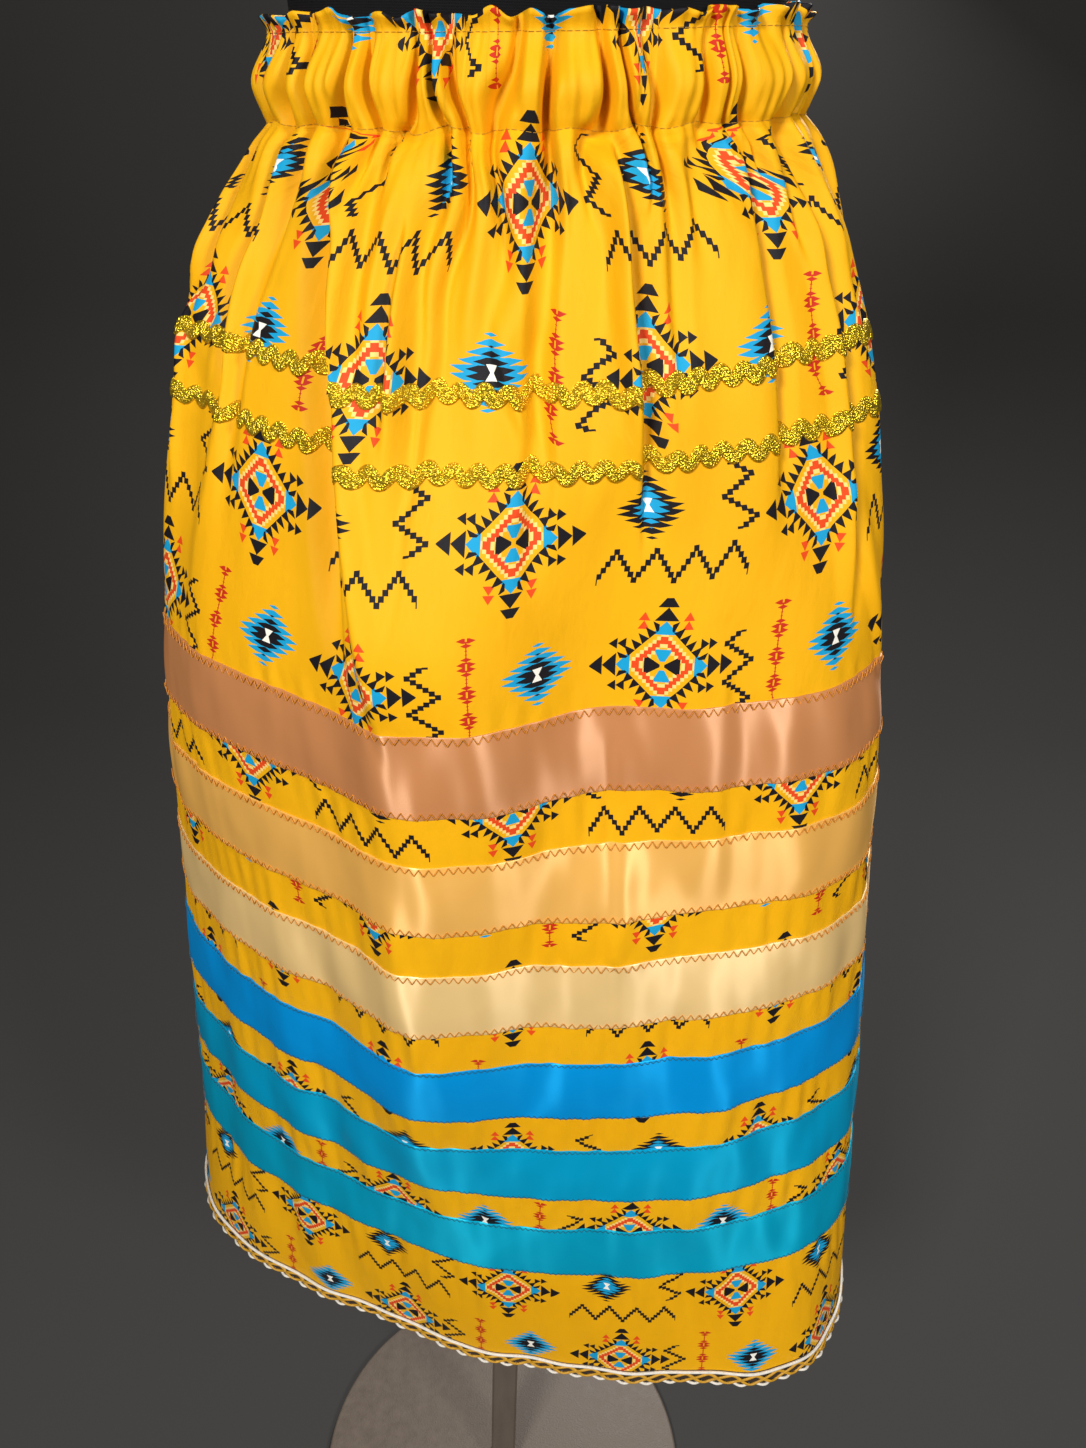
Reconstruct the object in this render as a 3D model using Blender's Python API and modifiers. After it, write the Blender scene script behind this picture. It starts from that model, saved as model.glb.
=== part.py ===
"""Ribbon skirt standing on a limbless dress form, at real size.

Metres, +Z up. The origin is the centre of the stand base's underside. The front faces -Y and +X is to
the right of someone looking at the front.

The skirt is two gathered A-line panels under a gathered casing with a short header ruffle. Two rows of
ric-rac and six satin ribbons lie on the panels, and a braided binding closes the hem. Every layer is
read from one function, skirt_point, so each piece that lies on a panel is the panel's own points, moved
out by the layers under it.
"""

import math
import random

import bpy
from mathutils import Matrix, Vector

# Heights of the form and the skirt
SKIRT_TOP_Z = 1.3405
SKIRT_LENGTH = 0.9015
HEADER_HEIGHT = 0.007
CASING_HEIGHT = 0.038
SEAM_DOWN = HEADER_HEIGHT + CASING_HEIGHT

# The waist sits a little higher on the right, and that slope is gone where the ribbons begin
WAIST_SLOPE = math.tan(math.radians(2.4))
LIFT_POWER = 3

# Ribbons, ric-rac and hem trim
RIBBON_WIDTH = 0.0508
RIBBON_PITCH = 0.0828
FIRST_RIBBON_DOWN = 0.3155
RICRAC_DOWNS = {"ricrac_upper": 0.1530, "ricrac_lower": 0.1880}
RICRAC_HEIGHT = 0.012
RICRAC_BAND = 0.0065
HEM_BINDING_HEIGHT = 0.013
HEM_BRAID_HEIGHT = 0.0103

# Cloth thickness, and the gaps that keep layers and seams apart
CLOTH = 0.0016
RIBBON_CLOTH = 0.001
TRIM_CLOTH = 0.001
SEAM_GAP = 0.0003
LAY_GAP = 0.0004
RICRAC_LAY_GAP = 0.0005

# Gathers: one ridge each, with two columns in the valley beside it
GATHERS = 60
GATHER_RISE = 0.0036
VALLEY_PHASES = (0.37, 0.63)
COLUMNS_PER_GATHER = 1 + len(VALLEY_PHASES)
VALLEY_SHARPNESS = 2.4
SIDE_SEAMS = (GATHERS // 4, 3 * GATHERS // 4)
GATHER_FADE_DOWN = FIRST_RIBBON_DOWN - 0.005

# Rows of the panels that carry every gather's three columns: both edges of each ric-rac are among them
RICRAC_EDGES = [down + side * RICRAC_HEIGHT / 2 for down in RICRAC_DOWNS.values() for side in (-1, 1)]
GATHERED_ROWS = [SEAM_DOWN] + RICRAC_EDGES
RICRAC_STRIPS = (1, 3)
SMOOTHING_ROW = 0.2535

# Outer face of the skirt, level by level: down from the top edge, half width, half depth, shift to the
# right, turn of the whole section in degrees (the right side comes forward), squareness, and how much
# higher the level lies at the sides than at the front and back
SECTION_COLUMNS = ("down", "half_width", "half_depth", "shift", "turn", "square", "lift")
SECTIONS = (
    (0.0450, 0.1355, 0.1030, 0.000, 0.0, 2.00, 0.0025),
    (0.0550, 0.1420, 0.1090, 0.000, 0.0, 2.00, 0.0040),
    (0.0700, 0.1495, 0.1150, 0.001, 0.0, 2.00, 0.0060),
    (0.0900, 0.1575, 0.1220, 0.001, 0.0, 2.00, 0.0090),
    (0.1120, 0.1675, 0.1295, 0.000, 0.0, 2.00, 0.0120),
    (0.1500, 0.1825, 0.1405, 0.000, 0.0, 2.00, 0.0155),
    (0.1900, 0.1930, 0.1495, -0.001, 0.0, 2.00, 0.0165),
    (0.2300, 0.2005, 0.1555, -0.003, 0.0, 2.03, 0.0145),
    (0.2850, 0.2145, 0.1620, -0.004, 0.0, 2.08, 0.0085),
    (0.3155, 0.2210, 0.1640, -0.003, 0.0, 2.10, 0.0055),
    (0.3663, 0.2315, 0.1655, 0.000, -1.0, 2.05, 0.0040),
    (0.4585, 0.2430, 0.1635, 0.002, -4.0, 1.94, 0.0010),
    (0.5435, 0.2520, 0.1605, 0.003, -7.0, 1.94, 0.0000),
    (0.6275, 0.2620, 0.1565, 0.004, -9.0, 1.96, 0.0000),
    (0.7055, 0.2700, 0.1525, 0.003, -11.5, 2.00, 0.0000),
    (0.7795, 0.2760, 0.1480, 0.004, -13.0, 2.15, 0.0000),
    (0.9015, 0.2850, 0.1425, 0.007, -15.0, 2.85, 0.0000),
)

# Outer face of the casing and header: down, half width, half depth, and how far its gathers stand out
BAND_ROWS = (
    (SEAM_DOWN, 0.1355, 0.1030, 0.0030),
    (0.0270, 0.1385, 0.1045, 0.0036),
    (HEADER_HEIGHT, 0.1320, 0.0990, 0.0026),
    (0.0000, 0.1345, 0.1015, 0.0042),
)
HEADER_WAVE = 0.0022

# Large folds: place is the part of the girth from the front centre, going right, at the fold's top and
# at its foot; left and right are the widths of its two flanks; rise is outwards, below zero inwards;
# top, full, fading and foot are the depths where it starts, is whole, starts to fade and is gone
FOLD_COLUMNS = ("place_top", "place_foot", "left", "right", "rise", "top", "full", "fading", "foot")
FOLDS = (
    (-0.122, -0.076, 0.012, 0.060, 0.012, 0.042, 0.080, 0.260, 0.345),
    (-0.044, -0.050, 0.065, 0.095, 0.020, 0.150, 0.300, 0.560, 0.780),
    (0.046, 0.046, 0.060, 0.065, -0.015, 0.160, 0.310, 0.360, 0.470),
    (0.175, 0.150, 0.085, 0.075, 0.014, 0.120, 0.290, 0.420, 0.680),
    (-0.020, -0.020, 0.090, 0.090, 0.008, 0.640, 0.820, 1.100, 1.200),
    (0.100, 0.100, 0.080, 0.080, -0.007, 0.700, 0.880, 1.100, 1.200),
    (0.200, 0.196, 0.050, 0.012, 0.008, 0.045, 0.110, 0.240, 0.330),
    (0.058, 0.036, 0.012, 0.026, 0.006, 0.045, 0.080, 0.150, 0.230),
    (-0.068, -0.050, 0.024, 0.012, 0.006, 0.050, 0.110, 0.170, 0.240),
    (0.118, 0.108, 0.030, 0.026, 0.005, 0.050, 0.120, 0.200, 0.300),
    (-0.190, -0.200, 0.030, 0.020, 0.007, 0.050, 0.120, 0.220, 0.330),
    (-0.240, -0.225, 0.030, 0.034, -0.006, 0.070, 0.160, 0.300, 0.450),
    (0.305, 0.310, 0.014, 0.050, 0.009, 0.045, 0.120, 0.240, 0.400),
    (0.300, 0.290, 0.110, 0.120, -0.016, 0.380, 0.600, 1.100, 1.200),
    (0.355, 0.360, 0.045, 0.040, -0.009, 0.110, 0.240, 0.360, 0.560),
    (0.405, 0.400, 0.050, 0.014, 0.011, 0.045, 0.100, 0.250, 0.350),
    (0.455, 0.460, 0.060, 0.055, 0.012, 0.160, 0.300, 0.380, 0.600),
    (0.520, 0.525, 0.050, 0.050, -0.011, 0.150, 0.300, 0.400, 0.620),
    (0.575, 0.590, 0.014, 0.055, 0.012, 0.045, 0.100, 0.260, 0.380),
    (0.640, 0.650, 0.050, 0.050, 0.010, 0.150, 0.290, 0.370, 0.540),
    (0.700, 0.705, 0.045, 0.016, 0.009, 0.045, 0.120, 0.240, 0.360),
    (0.420, 0.425, 0.070, 0.080, 0.010, 0.480, 0.700, 0.960, 1.100),
    (0.510, 0.515, 0.075, 0.070, -0.008, 0.480, 0.720, 0.960, 1.100),
    (0.610, 0.610, 0.075, 0.080, 0.010, 0.480, 0.700, 0.960, 1.100),
)

# Dress form, level by level: height, half width, half depth, shift to the back
FORM_WAIST_LOW_Z = 1.273
FORM_WAIST_HIGH_Z = 1.360
FORM_WAIST_HALF_WIDTH = 0.1255
FORM_WAIST_HALF_DEPTH = 0.0945
FORM_BOTTOM_Z = 1.020
FORM_TOP_Z = 1.780
FORM_SECTIONS = (
    (FORM_BOTTOM_Z, 0.1380, 0.0960, 0.000),
    (1.0320, 0.1610, 0.1120, 0.000),
    (1.0900, 0.1760, 0.1210, 0.000),
    (1.1550, 0.1700, 0.1170, 0.000),
    (1.2200, 0.1480, 0.1050, 0.000),
    (FORM_WAIST_LOW_Z, FORM_WAIST_HALF_WIDTH, FORM_WAIST_HALF_DEPTH, 0.000),
    (FORM_WAIST_HIGH_Z, FORM_WAIST_HALF_WIDTH, FORM_WAIST_HALF_DEPTH, 0.000),
    (1.4400, 0.1400, 0.1060, 0.000),
    (1.5200, 0.1560, 0.1150, 0.000),
    (1.6000, 0.1680, 0.1080, 0.004),
    (1.6550, 0.1680, 0.0880, 0.008),
    (1.6900, 0.1330, 0.0720, 0.010),
    (1.7150, 0.0820, 0.0580, 0.010),
    (1.7350, 0.0570, 0.0520, 0.010),
    (FORM_TOP_Z, 0.0540, 0.0500, 0.010),
)
FORM_COLUMNS_ROUND = 32
FORM_SQUARE = 2.15
BAND_CLEARANCE = 0.0008

# Stand
NECK_CAP_HEIGHT = 0.012
NECK_CAP_OVERHANG = 0.003
FOOT_PLATE_RADIUS = 0.055
FOOT_PLATE_HEIGHT = 0.006
POLE_SIDE = 0.025
BASE_RADIUS = 0.190
BASE_HEIGHT = 0.008
STAND_SEGMENTS = 32

# Colours: red, green, blue, roughness, metallic
COLOURS = {
    "printed_cotton": (0.78, 0.47, 0.04, 0.80, 0.0),
    "gold_ricrac": (0.62, 0.42, 0.03, 0.35, 0.9),
    "satin_copper": (0.46, 0.22, 0.11, 0.35, 0.0),
    "satin_apricot": (0.86, 0.46, 0.12, 0.35, 0.0),
    "satin_cream": (0.90, 0.66, 0.30, 0.35, 0.0),
    "satin_blue": (0.01, 0.26, 0.75, 0.35, 0.0),
    "satin_turquoise": (0.00, 0.40, 0.55, 0.35, 0.0),
    "satin_teal": (0.00, 0.36, 0.42, 0.35, 0.0),
    "white_binding": (0.85, 0.82, 0.76, 0.60, 0.0),
    "gold_braid": (0.65, 0.38, 0.03, 0.40, 0.8),
    "form_cloth": (0.03, 0.03, 0.035, 0.85, 0.0),
    "stand_paint": (0.10, 0.085, 0.075, 0.50, 0.3),
}
RIBBONS = ("copper", "apricot", "cream", "blue", "turquoise", "teal")

DOWN = 0
RING_STEPS = 720


def read_table(rows, columns, name, down):
    """One column of a table at a level, on a smooth curve through its rows."""
    column = columns.index(name)
    levels = [row[DOWN] for row in rows]
    values = [row[column] for row in rows]
    if down <= levels[0]:
        return values[0]
    if down >= levels[-1]:
        return values[-1]
    index = max(i for i, level in enumerate(levels) if level <= down)
    span = levels[index + 1] - levels[index]
    before, after = max(index - 1, 0), min(index + 2, len(rows) - 1)
    slope_in = (values[index + 1] - values[before]) / (levels[index + 1] - levels[before])
    slope_out = (values[after] - values[index]) / (levels[after] - levels[index])
    t = (down - levels[index]) / span
    return (
        values[index] * (1 + 2 * t) * (1 - t) ** 2
        + values[index + 1] * t * t * (3 - 2 * t)
        + slope_in * span * t * (1 - t) ** 2
        - slope_out * span * t * t * (1 - t)
    )


def smooth_step(low, high, value):
    """0 below low, 1 above high, smooth between."""
    t = min(max((value - low) / (high - low), 0.0), 1.0)
    return t * t * (3 - 2 * t)


def oval_radius(angle, half_width, half_depth, square):
    """Distance from the centre of a rounded oval to its edge."""
    along = abs(math.cos(angle) / half_width) ** square
    across = abs(math.sin(angle) / half_depth) ** square
    return (along + across) ** (-1 / square)


def section_ring(half_width, half_depth, shift=0.0, turn=0.0, square=2.0):
    """Points of one section from the front centre round to the right, and the girth up to each."""
    points = []
    for step in range(RING_STEPS + 1):
        angle = -math.pi / 2 + 2 * math.pi * step / RING_STEPS
        radius = oval_radius(angle - math.radians(turn), half_width, half_depth, square)
        points.append(Vector((shift + radius * math.cos(angle), radius * math.sin(angle))))
    girths = [0.0]
    for previous, point in zip(points, points[1:]):
        girths.append(girths[-1] + (point - previous).length)
    return points, girths


def on_ring(ring, place):
    """Point and outward direction at a part of the girth."""
    points, girths = ring
    wanted = (place % 1.0) * girths[-1]
    low, high = 0, RING_STEPS
    while high - low > 1:
        middle = (low + high) // 2
        low, high = (middle, high) if girths[middle] <= wanted else (low, middle)
    t = (wanted - girths[low]) / (girths[high] - girths[low])
    along = (points[high] - points[low]).normalized()
    return points[low].lerp(points[high], t), Vector((along.y, -along.x))


rings = {}


def skirt_ring(down):
    """The skirt's own section at a level, kept once it is worked out."""
    if down not in rings:
        names = SECTION_COLUMNS[1:-1]
        rings[down] = section_ring(*(read_table(SECTIONS, SECTION_COLUMNS, name, down) for name in names))
    return rings[down]


def gather_places():
    """Places of the gathers' ridges, unevenly spaced, with one on each side seam."""
    chance = random.Random(11)
    places = []
    for gather in range(GATHERS):
        drift = 0.0 if gather in SIDE_SEAMS else chance.uniform(-0.24, 0.24)
        places.append((gather + drift) / GATHERS)
    return places


def gather_traits():
    """How far each gather stands out, and how far down it runs."""
    chance = random.Random(23)
    return [(chance.uniform(0.55, 1.25), chance.uniform(0.35, 1.0)) for _ in range(GATHERS)]


RIDGES = gather_places()
TRAITS = gather_traits()


def ridge_place(gather):
    """Place of a ridge, running on past a whole turn."""
    return RIDGES[gather % GATHERS] + gather // GATHERS


def gather_column(gather, phase):
    """Place of a column between one ridge and the next."""
    return ridge_place(gather) * (1 - phase) + ridge_place(gather + 1) * phase


def gather_wave(phase):
    """Broad ridge at phases 0 and 1, and a narrower valley between them."""
    return 1 - 2 * abs(math.sin(math.pi * phase)) ** VALLEY_SHARPNESS


def gather_out(gather, phase, down):
    """How far the gathers move the panel out at a column."""
    near, far = TRAITS[gather % GATHERS], TRAITS[(gather + 1) % GATHERS]
    stand = near[0] * (1 - phase) + far[0] * phase
    reach = near[1] * (1 - phase) + far[1] * phase
    length = reach * (GATHER_FADE_DOWN - SEAM_DOWN)
    fade = 1 - smooth_step(SEAM_DOWN + 0.15 * length, SEAM_DOWN + length, down)
    return GATHER_RISE * stand * fade * gather_wave(phase)


def fold_out(place, down):
    """How far the large folds move the panel out."""
    girth = skirt_ring(down)[1][-1]
    total = 0.0
    for row in FOLDS:
        fold = dict(zip(FOLD_COLUMNS, row))
        part = (down - fold["top"]) / (fold["foot"] - fold["top"])
        if not 0 < part < 1:
            continue
        centre = fold["place_top"] + (fold["place_foot"] - fold["place_top"]) * part
        away = ((place - centre + 0.5) % 1.0 - 0.5) * girth
        flank = away / (fold["right"] if away > 0 else fold["left"])
        if abs(flank) >= 1:
            continue
        swell = smooth_step(fold["top"], fold["full"], down)
        fade = 1 - smooth_step(fold["fading"], fold["foot"], down)
        total += fold["rise"] * swell * fade * math.cos(math.pi * flank / 2) ** 2
    return total


def level_height(x, y, down):
    """Height of a level, with the slope of the waist and the lift at its sides."""
    slope = 1 - smooth_step(SEAM_DOWN, FIRST_RIBBON_DOWN, down)
    depth = read_table(SECTIONS, SECTION_COLUMNS, "half_depth", down)
    lift = read_table(SECTIONS, SECTION_COLUMNS, "lift", down)
    sideways = 1 - min(abs(y / depth), 1.0) ** LIFT_POWER
    return SKIRT_TOP_Z - down + slope * WAIST_SLOPE * x + lift * sideways


def skirt_point(gather, phase, down, out=0.0, aside=0.0):
    """A point of the panels' outer face at a column, moved out and along the girth."""
    place = gather_column(gather, phase) + aside / skirt_ring(down)[1][-1]
    point, outward = on_ring(skirt_ring(down), place)
    reach = gather_out(gather, phase, down) + fold_out(place % 1.0, down) + out
    point = point + outward * reach
    return Vector((point.x, point.y, level_height(point.x, point.y, down)))


def strip(upper, lower, zigzag_from=None):
    """Triangles between two rows: alike, or with three upper columns to each lower one.

    The diagonals run down to the right, or turn about from column to column where a zigzag lies.
    """
    faces = []
    if len(upper) == len(lower):
        for number, (a, b, c, d) in enumerate(zip(upper, lower, lower[1:], upper[1:])):
            turned = zigzag_from is not None and (zigzag_from + number) % 2
            faces += [(a, b, d), (b, c, d)] if turned else [(a, b, c), (a, c, d)]
        return faces
    for group in range(len(lower) - 1):
        f0, f1, f2, f3 = upper[3 * group:3 * group + 4]
        c0, c1 = lower[group], lower[group + 1]
        faces += [(f0, c0, f1), (f1, c0, c1), (f1, c1, f2), (f2, c1, f3)]
    return faces


def mesh_from_rows(name, rows, extra_faces=(), zigzag=False):
    """A tube from rows of points, listed from the top down, each going right round the girth."""
    points, numbered = [], []
    for row in rows:
        first = len(points)
        points += row
        numbers = list(range(first, len(points)))
        numbered.append(numbers + numbers[:1])
    faces = []
    for upper, lower in zip(numbered, numbered[1:]):
        faces += strip(upper, lower, 0 if zigzag else None)
    mesh = bpy.data.meshes.new(name)
    mesh.from_pydata(points, [], faces + list(extra_faces))
    return mesh


def fine_columns(first, last):
    """Every column of the gathers from one ridge to another."""
    columns = []
    for gather in range(first, last):
        columns += [(gather, phase) for phase in (0.0,) + VALLEY_PHASES]
    return columns + [(last, 0.0)]


def coarse_columns(first, last):
    """The ridges' own columns only."""
    return [(gather, 0.0) for gather in range(first, last + 1)]


def ribbon_downs():
    """Upper edge of each ribbon."""
    return [FIRST_RIBBON_DOWN + RIBBON_PITCH * number for number in range(len(RIBBONS))]


def panel_rows():
    """The panels' levels below the gathered ones: both edges of every ribbon, and the hem trim."""
    downs = [SMOOTHING_ROW]
    for upper in ribbon_downs():
        downs += [upper, upper + RIBBON_WIDTH]
    return downs + [SKIRT_LENGTH - HEM_BINDING_HEIGHT, SKIRT_LENGTH]


def make_object(name, mesh, material, collection):
    """Put a mesh in the scene as one sub-part."""
    part = bpy.data.objects.new(name, mesh)
    collection.objects.link(part)
    mesh.materials.append(material)
    return part


def thicken(part, thickness):
    """Give a tube its wall, outwards from where it lies."""
    wall = part.modifiers.new("wall", "SOLIDIFY")
    wall.thickness = thickness
    wall.offset = 1.0


def panel_row(columns, down, out, drop):
    """One row of a panel, stopping short of each side seam by half the seam gap."""
    ends = {0: SEAM_GAP / 2, len(columns) - 1: -SEAM_GAP / 2}
    points = []
    for number, (gather, phase) in enumerate(columns):
        points.append(skirt_point(gather, phase, down, out, aside=ends.get(number, 0.0)))
        points[-1].z -= drop
    return points


def make_panel(name, first, last, material, collection):
    """Front or back panel, from one side seam to the other.

    Both faces of its wall are read along the section's own outward direction, so the two panels keep
    the same gap at a side seam through their whole thickness.
    """
    fine, coarse = fine_columns(first, last), coarse_columns(first, last)
    levels = [(fine, GATHERED_ROWS[0], SEAM_GAP)] + [(fine, down, 0.0) for down in GATHERED_ROWS[1:]]
    levels += [(coarse, down, 0.0) for down in panel_rows()]
    points, sides = [], []
    for out in (0.0, -CLOTH):
        side = []
        for columns, down, drop in levels:
            side.append(list(range(len(points), len(points) + len(columns))))
            points += panel_row(columns, down, out, drop)
        sides.append(side)
    outer, inner = sides
    faces = []
    for number in range(len(levels) - 1):
        zigzag_from = COLUMNS_PER_GATHER * first if number in RICRAC_STRIPS else None
        faces += strip(outer[number], outer[number + 1], zigzag_from)
        faces += [face[::-1] for face in strip(inner[number], inner[number + 1], zigzag_from)]
    faces += strip(inner[0], outer[0])
    faces += strip(outer[-1], inner[-1])
    faces += strip([row[0] for row in outer], [row[0] for row in inner])
    faces += strip([row[-1] for row in inner], [row[-1] for row in outer])
    mesh = bpy.data.meshes.new(name)
    mesh.from_pydata(points, [], faces)
    return make_object(name, mesh, material, collection)


def make_ring(name, upper, lower, out, thickness, material, collection):
    """A ribbon or binding right round the skirt, between two levels of the panels."""
    columns = coarse_columns(0, GATHERS - 1)
    rows = [[skirt_point(gather, phase, down, out) for gather, phase in columns] for down in (upper, lower)]
    part = make_object(name, mesh_from_rows(name, rows), material, collection)
    thicken(part, thickness)
    return part


def make_ricrac(name, middle, material, collection):
    """A zigzag braid on one strip of the panels, with its peaks and dips on their columns."""
    top, foot = middle - RICRAC_HEIGHT / 2, middle + RICRAC_HEIGHT / 2
    share = RICRAC_BAND / RICRAC_HEIGHT
    rows = [[], []]
    for number, (gather, phase) in enumerate(fine_columns(0, GATHERS)[:-1]):
        above = skirt_point(gather, phase, top, RICRAC_LAY_GAP)
        below = skirt_point(gather, phase, foot, RICRAC_LAY_GAP)
        edges = (1 - share, 1.0) if number % 2 else (0.0, share)
        for row, part_way in zip(rows, edges):
            row.append(above.lerp(below, part_way))
    part = make_object(name, mesh_from_rows(name, rows, zigzag=True), material, collection)
    thicken(part, TRIM_CLOTH)
    return part


def make_waistband(material, collection):
    """The turned-down casing: gathered outside, plain inside against the form, header on top."""
    header = random.Random(37)
    waves = [header.uniform(-HEADER_WAVE, HEADER_WAVE) for _ in range(GATHERS)]
    rows = []
    for down, half_width, half_depth, gather_rise in reversed(BAND_ROWS):
        ring = section_ring(half_width, half_depth)
        row = []
        for gather, phase in fine_columns(0, GATHERS)[:-1]:
            if down == SEAM_DOWN:
                row.append(skirt_point(gather, phase, down))
                continue
            point, outward = on_ring(ring, gather_column(gather, phase))
            near, far = TRAITS[gather % GATHERS][0], TRAITS[(gather + 1) % GATHERS][0]
            stand = near * (1 - phase) + far * phase
            point = point + outward * gather_rise * stand * gather_wave(phase)
            lift = waves[gather] if down == 0.0 else 0.0
            row.append(Vector((point.x, point.y, level_height(point.x, point.y, down) + lift)))
        rows.append(row)
    inner = section_ring(
        FORM_WAIST_HALF_WIDTH + BAND_CLEARANCE, FORM_WAIST_HALF_DEPTH + BAND_CLEARANCE, square=FORM_SQUARE
    )
    for down in (SEAM_DOWN, 0.0):
        row = []
        for gather, phase in coarse_columns(0, GATHERS - 1):
            point, _ = on_ring(inner, gather_column(gather, phase))
            row.append(Vector((point.x, point.y, level_height(point.x, point.y, down))))
        rows.append(row)
    mesh = mesh_from_rows("waistband", rows, top_rim(len(rows[0]), len(rows)))
    return make_object("waistband", mesh, material, collection)


def top_rim(fine_count, row_count):
    """Triangles that join the casing's inner top row to its outer top row."""
    outer = list(range(fine_count)) + [0]
    inner_first = fine_count * (row_count - 2) + fine_count // 3
    inner = list(range(inner_first, inner_first + fine_count // 3)) + [inner_first]
    return [face[::-1] for face in strip(outer, inner)]


def make_form_torso(material, collection):
    """Smooth limbless torso, lofted through its sections and closed at both ends."""
    rows = []
    for height, half_width, half_depth, back in reversed(FORM_SECTIONS):
        row = []
        for step in range(FORM_COLUMNS_ROUND):
            angle = -math.pi / 2 + 2 * math.pi * step / FORM_COLUMNS_ROUND
            radius = oval_radius(angle, half_width, half_depth, FORM_SQUARE)
            row.append(Vector((radius * math.cos(angle), back + radius * math.sin(angle), height)))
        rows.append(row)
    count = FORM_COLUMNS_ROUND
    last = count * (len(rows) - 1)
    caps = (tuple(range(count)), tuple(reversed(range(last, last + count))))
    part = make_object("form_torso", mesh_from_rows("form_torso", rows, caps), material, collection)
    part.data.shade_smooth()
    return part


def make_disc(name, radius, height, bottom, back, bevel, material, collection):
    """A turned plate with a softened rim."""
    bpy.ops.mesh.primitive_cylinder_add(
        vertices=STAND_SEGMENTS, radius=radius, depth=height, location=(0, back, bottom + height / 2)
    )
    part = bpy.context.object
    part.name = name
    part.data.name = name
    part.data.materials.append(material)
    for holder in part.users_collection:
        holder.objects.unlink(part)
    collection.objects.link(part)
    rim = part.modifiers.new("rim", "BEVEL")
    rim.width = bevel
    rim.segments = 1
    rim.limit_method = "ANGLE"
    return part


def make_pole(material, collection):
    """Square bar from the base up to the plate under the form."""
    bottom = BASE_HEIGHT + SEAM_GAP
    top = FORM_BOTTOM_Z - FOOT_PLATE_HEIGHT - 2 * SEAM_GAP
    bpy.ops.mesh.primitive_cube_add(size=1.0, location=(0, 0, (bottom + top) / 2))
    part = bpy.context.object
    part.name = "stand_pole"
    part.data.name = "stand_pole"
    part.data.transform(Matrix.Diagonal((POLE_SIDE, POLE_SIDE, top - bottom, 1.0)))
    part.data.materials.append(material)
    for holder in part.users_collection:
        holder.objects.unlink(part)
    collection.objects.link(part)
    edges = part.modifiers.new("edges", "BEVEL")
    edges.width = 0.002
    edges.segments = 1
    return part


def make_material(name, red, green, blue, roughness, metallic):
    """A plain finish for one kind of piece."""
    material = bpy.data.materials.new(name)
    material.use_nodes = True
    shader = material.node_tree.nodes["Principled BSDF"]
    shader.inputs["Base Color"].default_value = (red, green, blue, 1.0)
    shader.inputs["Roughness"].default_value = roughness
    shader.inputs["Metallic"].default_value = metallic
    return material


def main():
    """Clear the scene and make every sub-part."""
    for old in list(bpy.data.objects):
        bpy.data.objects.remove(old, do_unlink=True)
    collection = bpy.data.collections.new("ribbon_skirt_on_form")
    bpy.context.scene.collection.children.link(collection)
    finish = {name: make_material(name, *values) for name, values in COLOURS.items()}

    left, right = SIDE_SEAMS[1], SIDE_SEAMS[0]
    make_panel("skirt_front", left - GATHERS, right, finish["printed_cotton"], collection)
    make_panel("skirt_back", right, left, finish["printed_cotton"], collection)
    make_waistband(finish["printed_cotton"], collection)
    for name, middle in RICRAC_DOWNS.items():
        make_ricrac(name, middle, finish["gold_ricrac"], collection)
    for colour, upper in zip(RIBBONS, ribbon_downs()):
        satin = finish["satin_" + colour]
        make_ring("ribbon_" + colour, upper, upper + RIBBON_WIDTH, LAY_GAP, RIBBON_CLOTH, satin, collection)
    hem, white, gold = SKIRT_LENGTH, finish["white_binding"], finish["gold_braid"]
    braid_out = 2 * LAY_GAP + TRIM_CLOTH
    make_ring("hem_binding", hem - HEM_BINDING_HEIGHT, hem, LAY_GAP, TRIM_CLOTH, white, collection)
    make_ring("hem_braid", hem - HEM_BRAID_HEIGHT, hem, braid_out, TRIM_CLOTH, gold, collection)

    make_form_torso(finish["form_cloth"], collection)
    neck = FORM_SECTIONS[-1]
    make_disc(
        "form_neck_cap", neck[1] + NECK_CAP_OVERHANG, NECK_CAP_HEIGHT, FORM_TOP_Z + SEAM_GAP, neck[3],
        0.003, finish["stand_paint"], collection,
    )
    plate_bottom = FORM_BOTTOM_Z - FOOT_PLATE_HEIGHT - SEAM_GAP
    make_disc(
        "form_foot_plate", FOOT_PLATE_RADIUS, FOOT_PLATE_HEIGHT, plate_bottom, 0.0,
        0.0015, finish["stand_paint"], collection,
    )
    make_pole(finish["stand_paint"], collection)
    make_disc("stand_base", BASE_RADIUS, BASE_HEIGHT, 0.0, 0.0, 0.002, finish["stand_paint"], collection)


main()
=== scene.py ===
# %% [markdown]
# # A ribbon skirt on a dress form
#
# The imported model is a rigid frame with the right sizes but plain, coarse faces. This lesson dresses it.
# Each cloth piece is built again as a fine thin sheet on the same form. Thread, braid and ric-rac are laid
# along the sheets, and every surface gets a finish made of shader nodes.

# %% Load the frame
import math
import random

import bpy
import numpy as np
from mathutils import Matrix, Vector


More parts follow.
